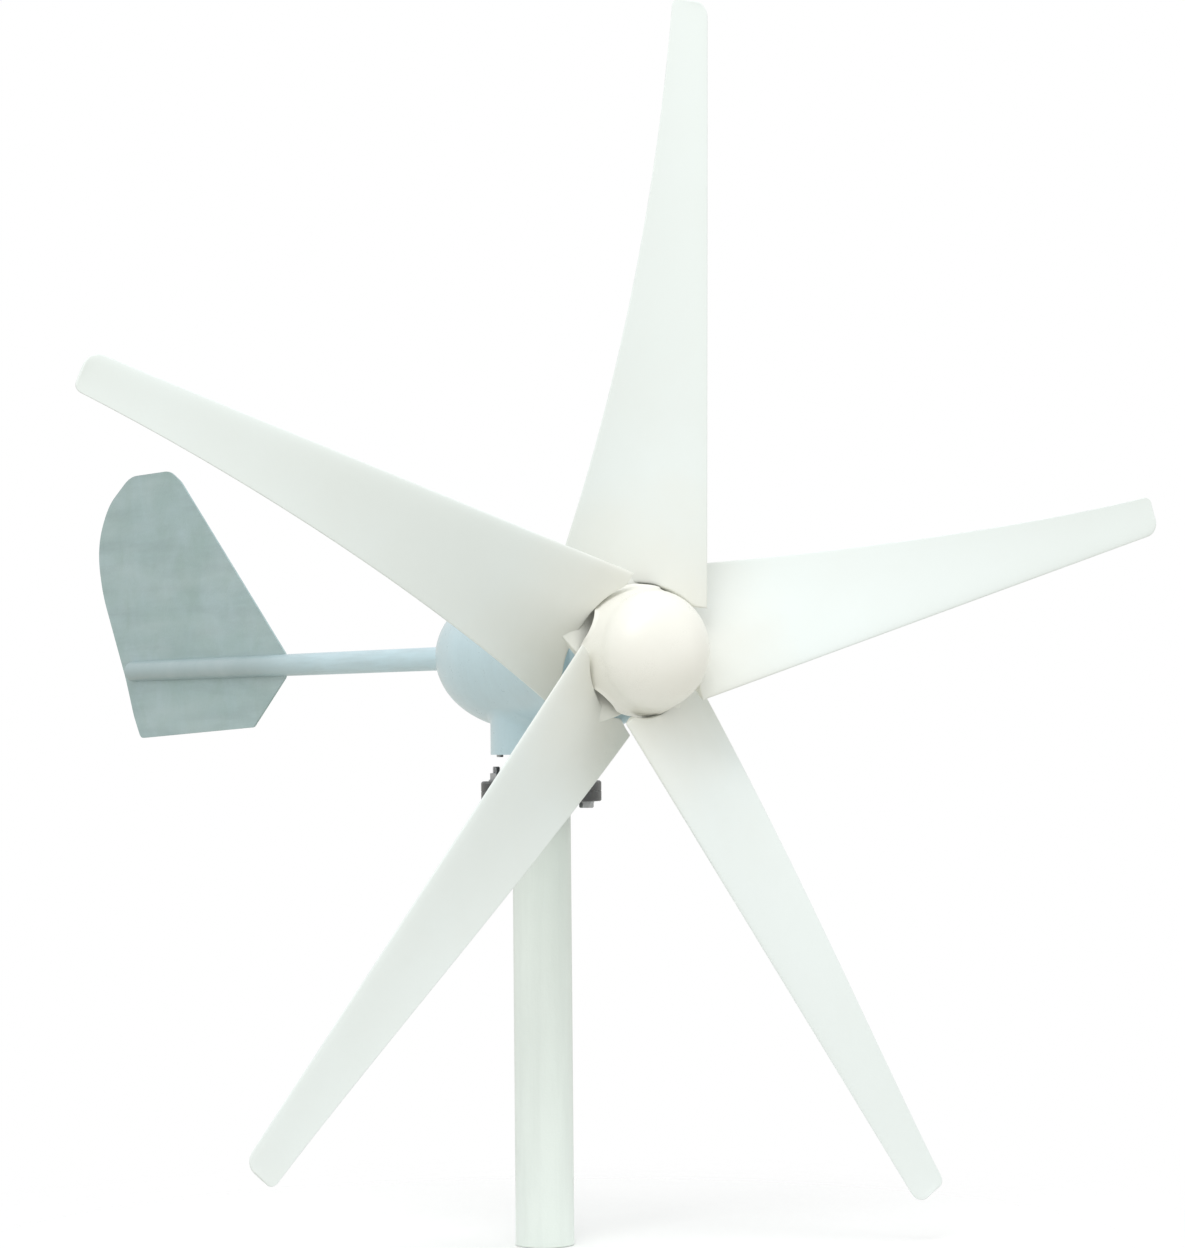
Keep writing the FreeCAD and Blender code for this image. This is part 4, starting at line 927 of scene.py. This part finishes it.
def add_softbox(name, place, target, size, power, colour):
    data = bpy.data.lights.new(name, "AREA")
    data.shape = "RECTANGLE"
    data.size, data.size_y = size
    data.energy = power
    data.color = colour
    light = bpy.data.objects.new(name, data)
    bpy.context.scene.collection.objects.link(light)
    light.location = place
    aim(light, target)


def build_light():
    world = bpy.data.worlds.new("white_room")
    bpy.context.scene.world = world
    world.use_nodes = True
    tree = world.node_tree
    tree.nodes.clear()
    seen = tree.nodes.new("ShaderNodeBackground")
    seen.inputs["Color"].default_value = (1, 1, 1, 1)
    seen.inputs["Strength"].default_value = 1.0
    lit = tree.nodes.new("ShaderNodeBackground")
    direction = tree.nodes.new("ShaderNodeSeparateXYZ")
    connect(tree, tree.nodes.new("ShaderNodeTexCoord").outputs["Generated"], direction.inputs[0])
    height = spread(tree, direction.outputs["Z"], -0.7, 0.7)
    low_light, high_light = (0.62, 0.61, 0.54), (0.985, 0.995, 1.0)
    connect(tree, mix_colour(tree, height, rgba(low_light), rgba(high_light)), lit.inputs["Color"])
    lit.inputs["Strength"].default_value = 0.97
    path = tree.nodes.new("ShaderNodeLightPath")
    mix = tree.nodes.new("ShaderNodeMixShader")
    out = tree.nodes.new("ShaderNodeOutputWorld")
    connect(tree, path.outputs["Is Camera Ray"], mix.inputs[0])
    connect(tree, lit.outputs[0], mix.inputs[1])
    connect(tree, seen.outputs[0], mix.inputs[2])
    connect(tree, mix.outputs[0], out.inputs["Surface"])
    add_softbox("key_softbox", (-2.6, -2.4, 3.4), (0, -0.1, 0.6), (2.2, 2.2), 44, (1.0, 1.0, 1.0))
    add_softbox("top_softbox", (-0.7, -1.5, 3.0), (0, -0.2, 0.6), (0.9, 0.9), 13, (1.0, 1.0, 1.0))
    add_softbox("fill_softbox", (2.8, -2.6, 1.4), (0, 0, 0.6), (2.5, 2.5), 12, (0.97, 0.99, 1.0))
    bpy.context.scene.view_settings.view_transform = "Standard"


def build_camera():
    azimuth, elevation, roll = math.radians(-30.4), math.radians(-1.1), math.radians(-0.5)
    distance, aside, below = 3.867, -0.047, -0.003
    frame_height, focal, sensor = 1248.0, 3926.0, 36.0
    shift_across, shift_up = -7.5, 29.0
    back = Vector((math.sin(azimuth) * math.cos(elevation), -math.cos(azimuth) * math.cos(elevation),
                   math.sin(elevation)))
    level = Vector((math.cos(azimuth), math.sin(azimuth), 0))
    upright = back.cross(level)
    right = math.cos(roll) * level + math.sin(roll) * upright
    up = -math.sin(roll) * level + math.cos(roll) * upright
    place = Vector((0, ROTOR_Y, HUB_Z)) + back * distance + right * aside + up * below
    data = bpy.data.cameras.new("front_left")
    data.lens = focal / frame_height * sensor
    data.sensor_width = sensor
    data.shift_x = shift_across / frame_height
    data.shift_y = shift_up / frame_height
    data.clip_end = 50.0
    camera = bpy.data.objects.new("front_left", data)
    bpy.context.scene.collection.objects.link(camera)
    camera.matrix_world = Matrix.Translation(place) @ Matrix((right, up, back)).transposed().to_4x4()
    bpy.context.scene.camera = camera


finish_cad_nodes()
build_blades()
build_nose()
build_flange_bolts()
build_flange_weld()
build_floor()
build_light()
build_camera()

bpy.context.view_layer.update()
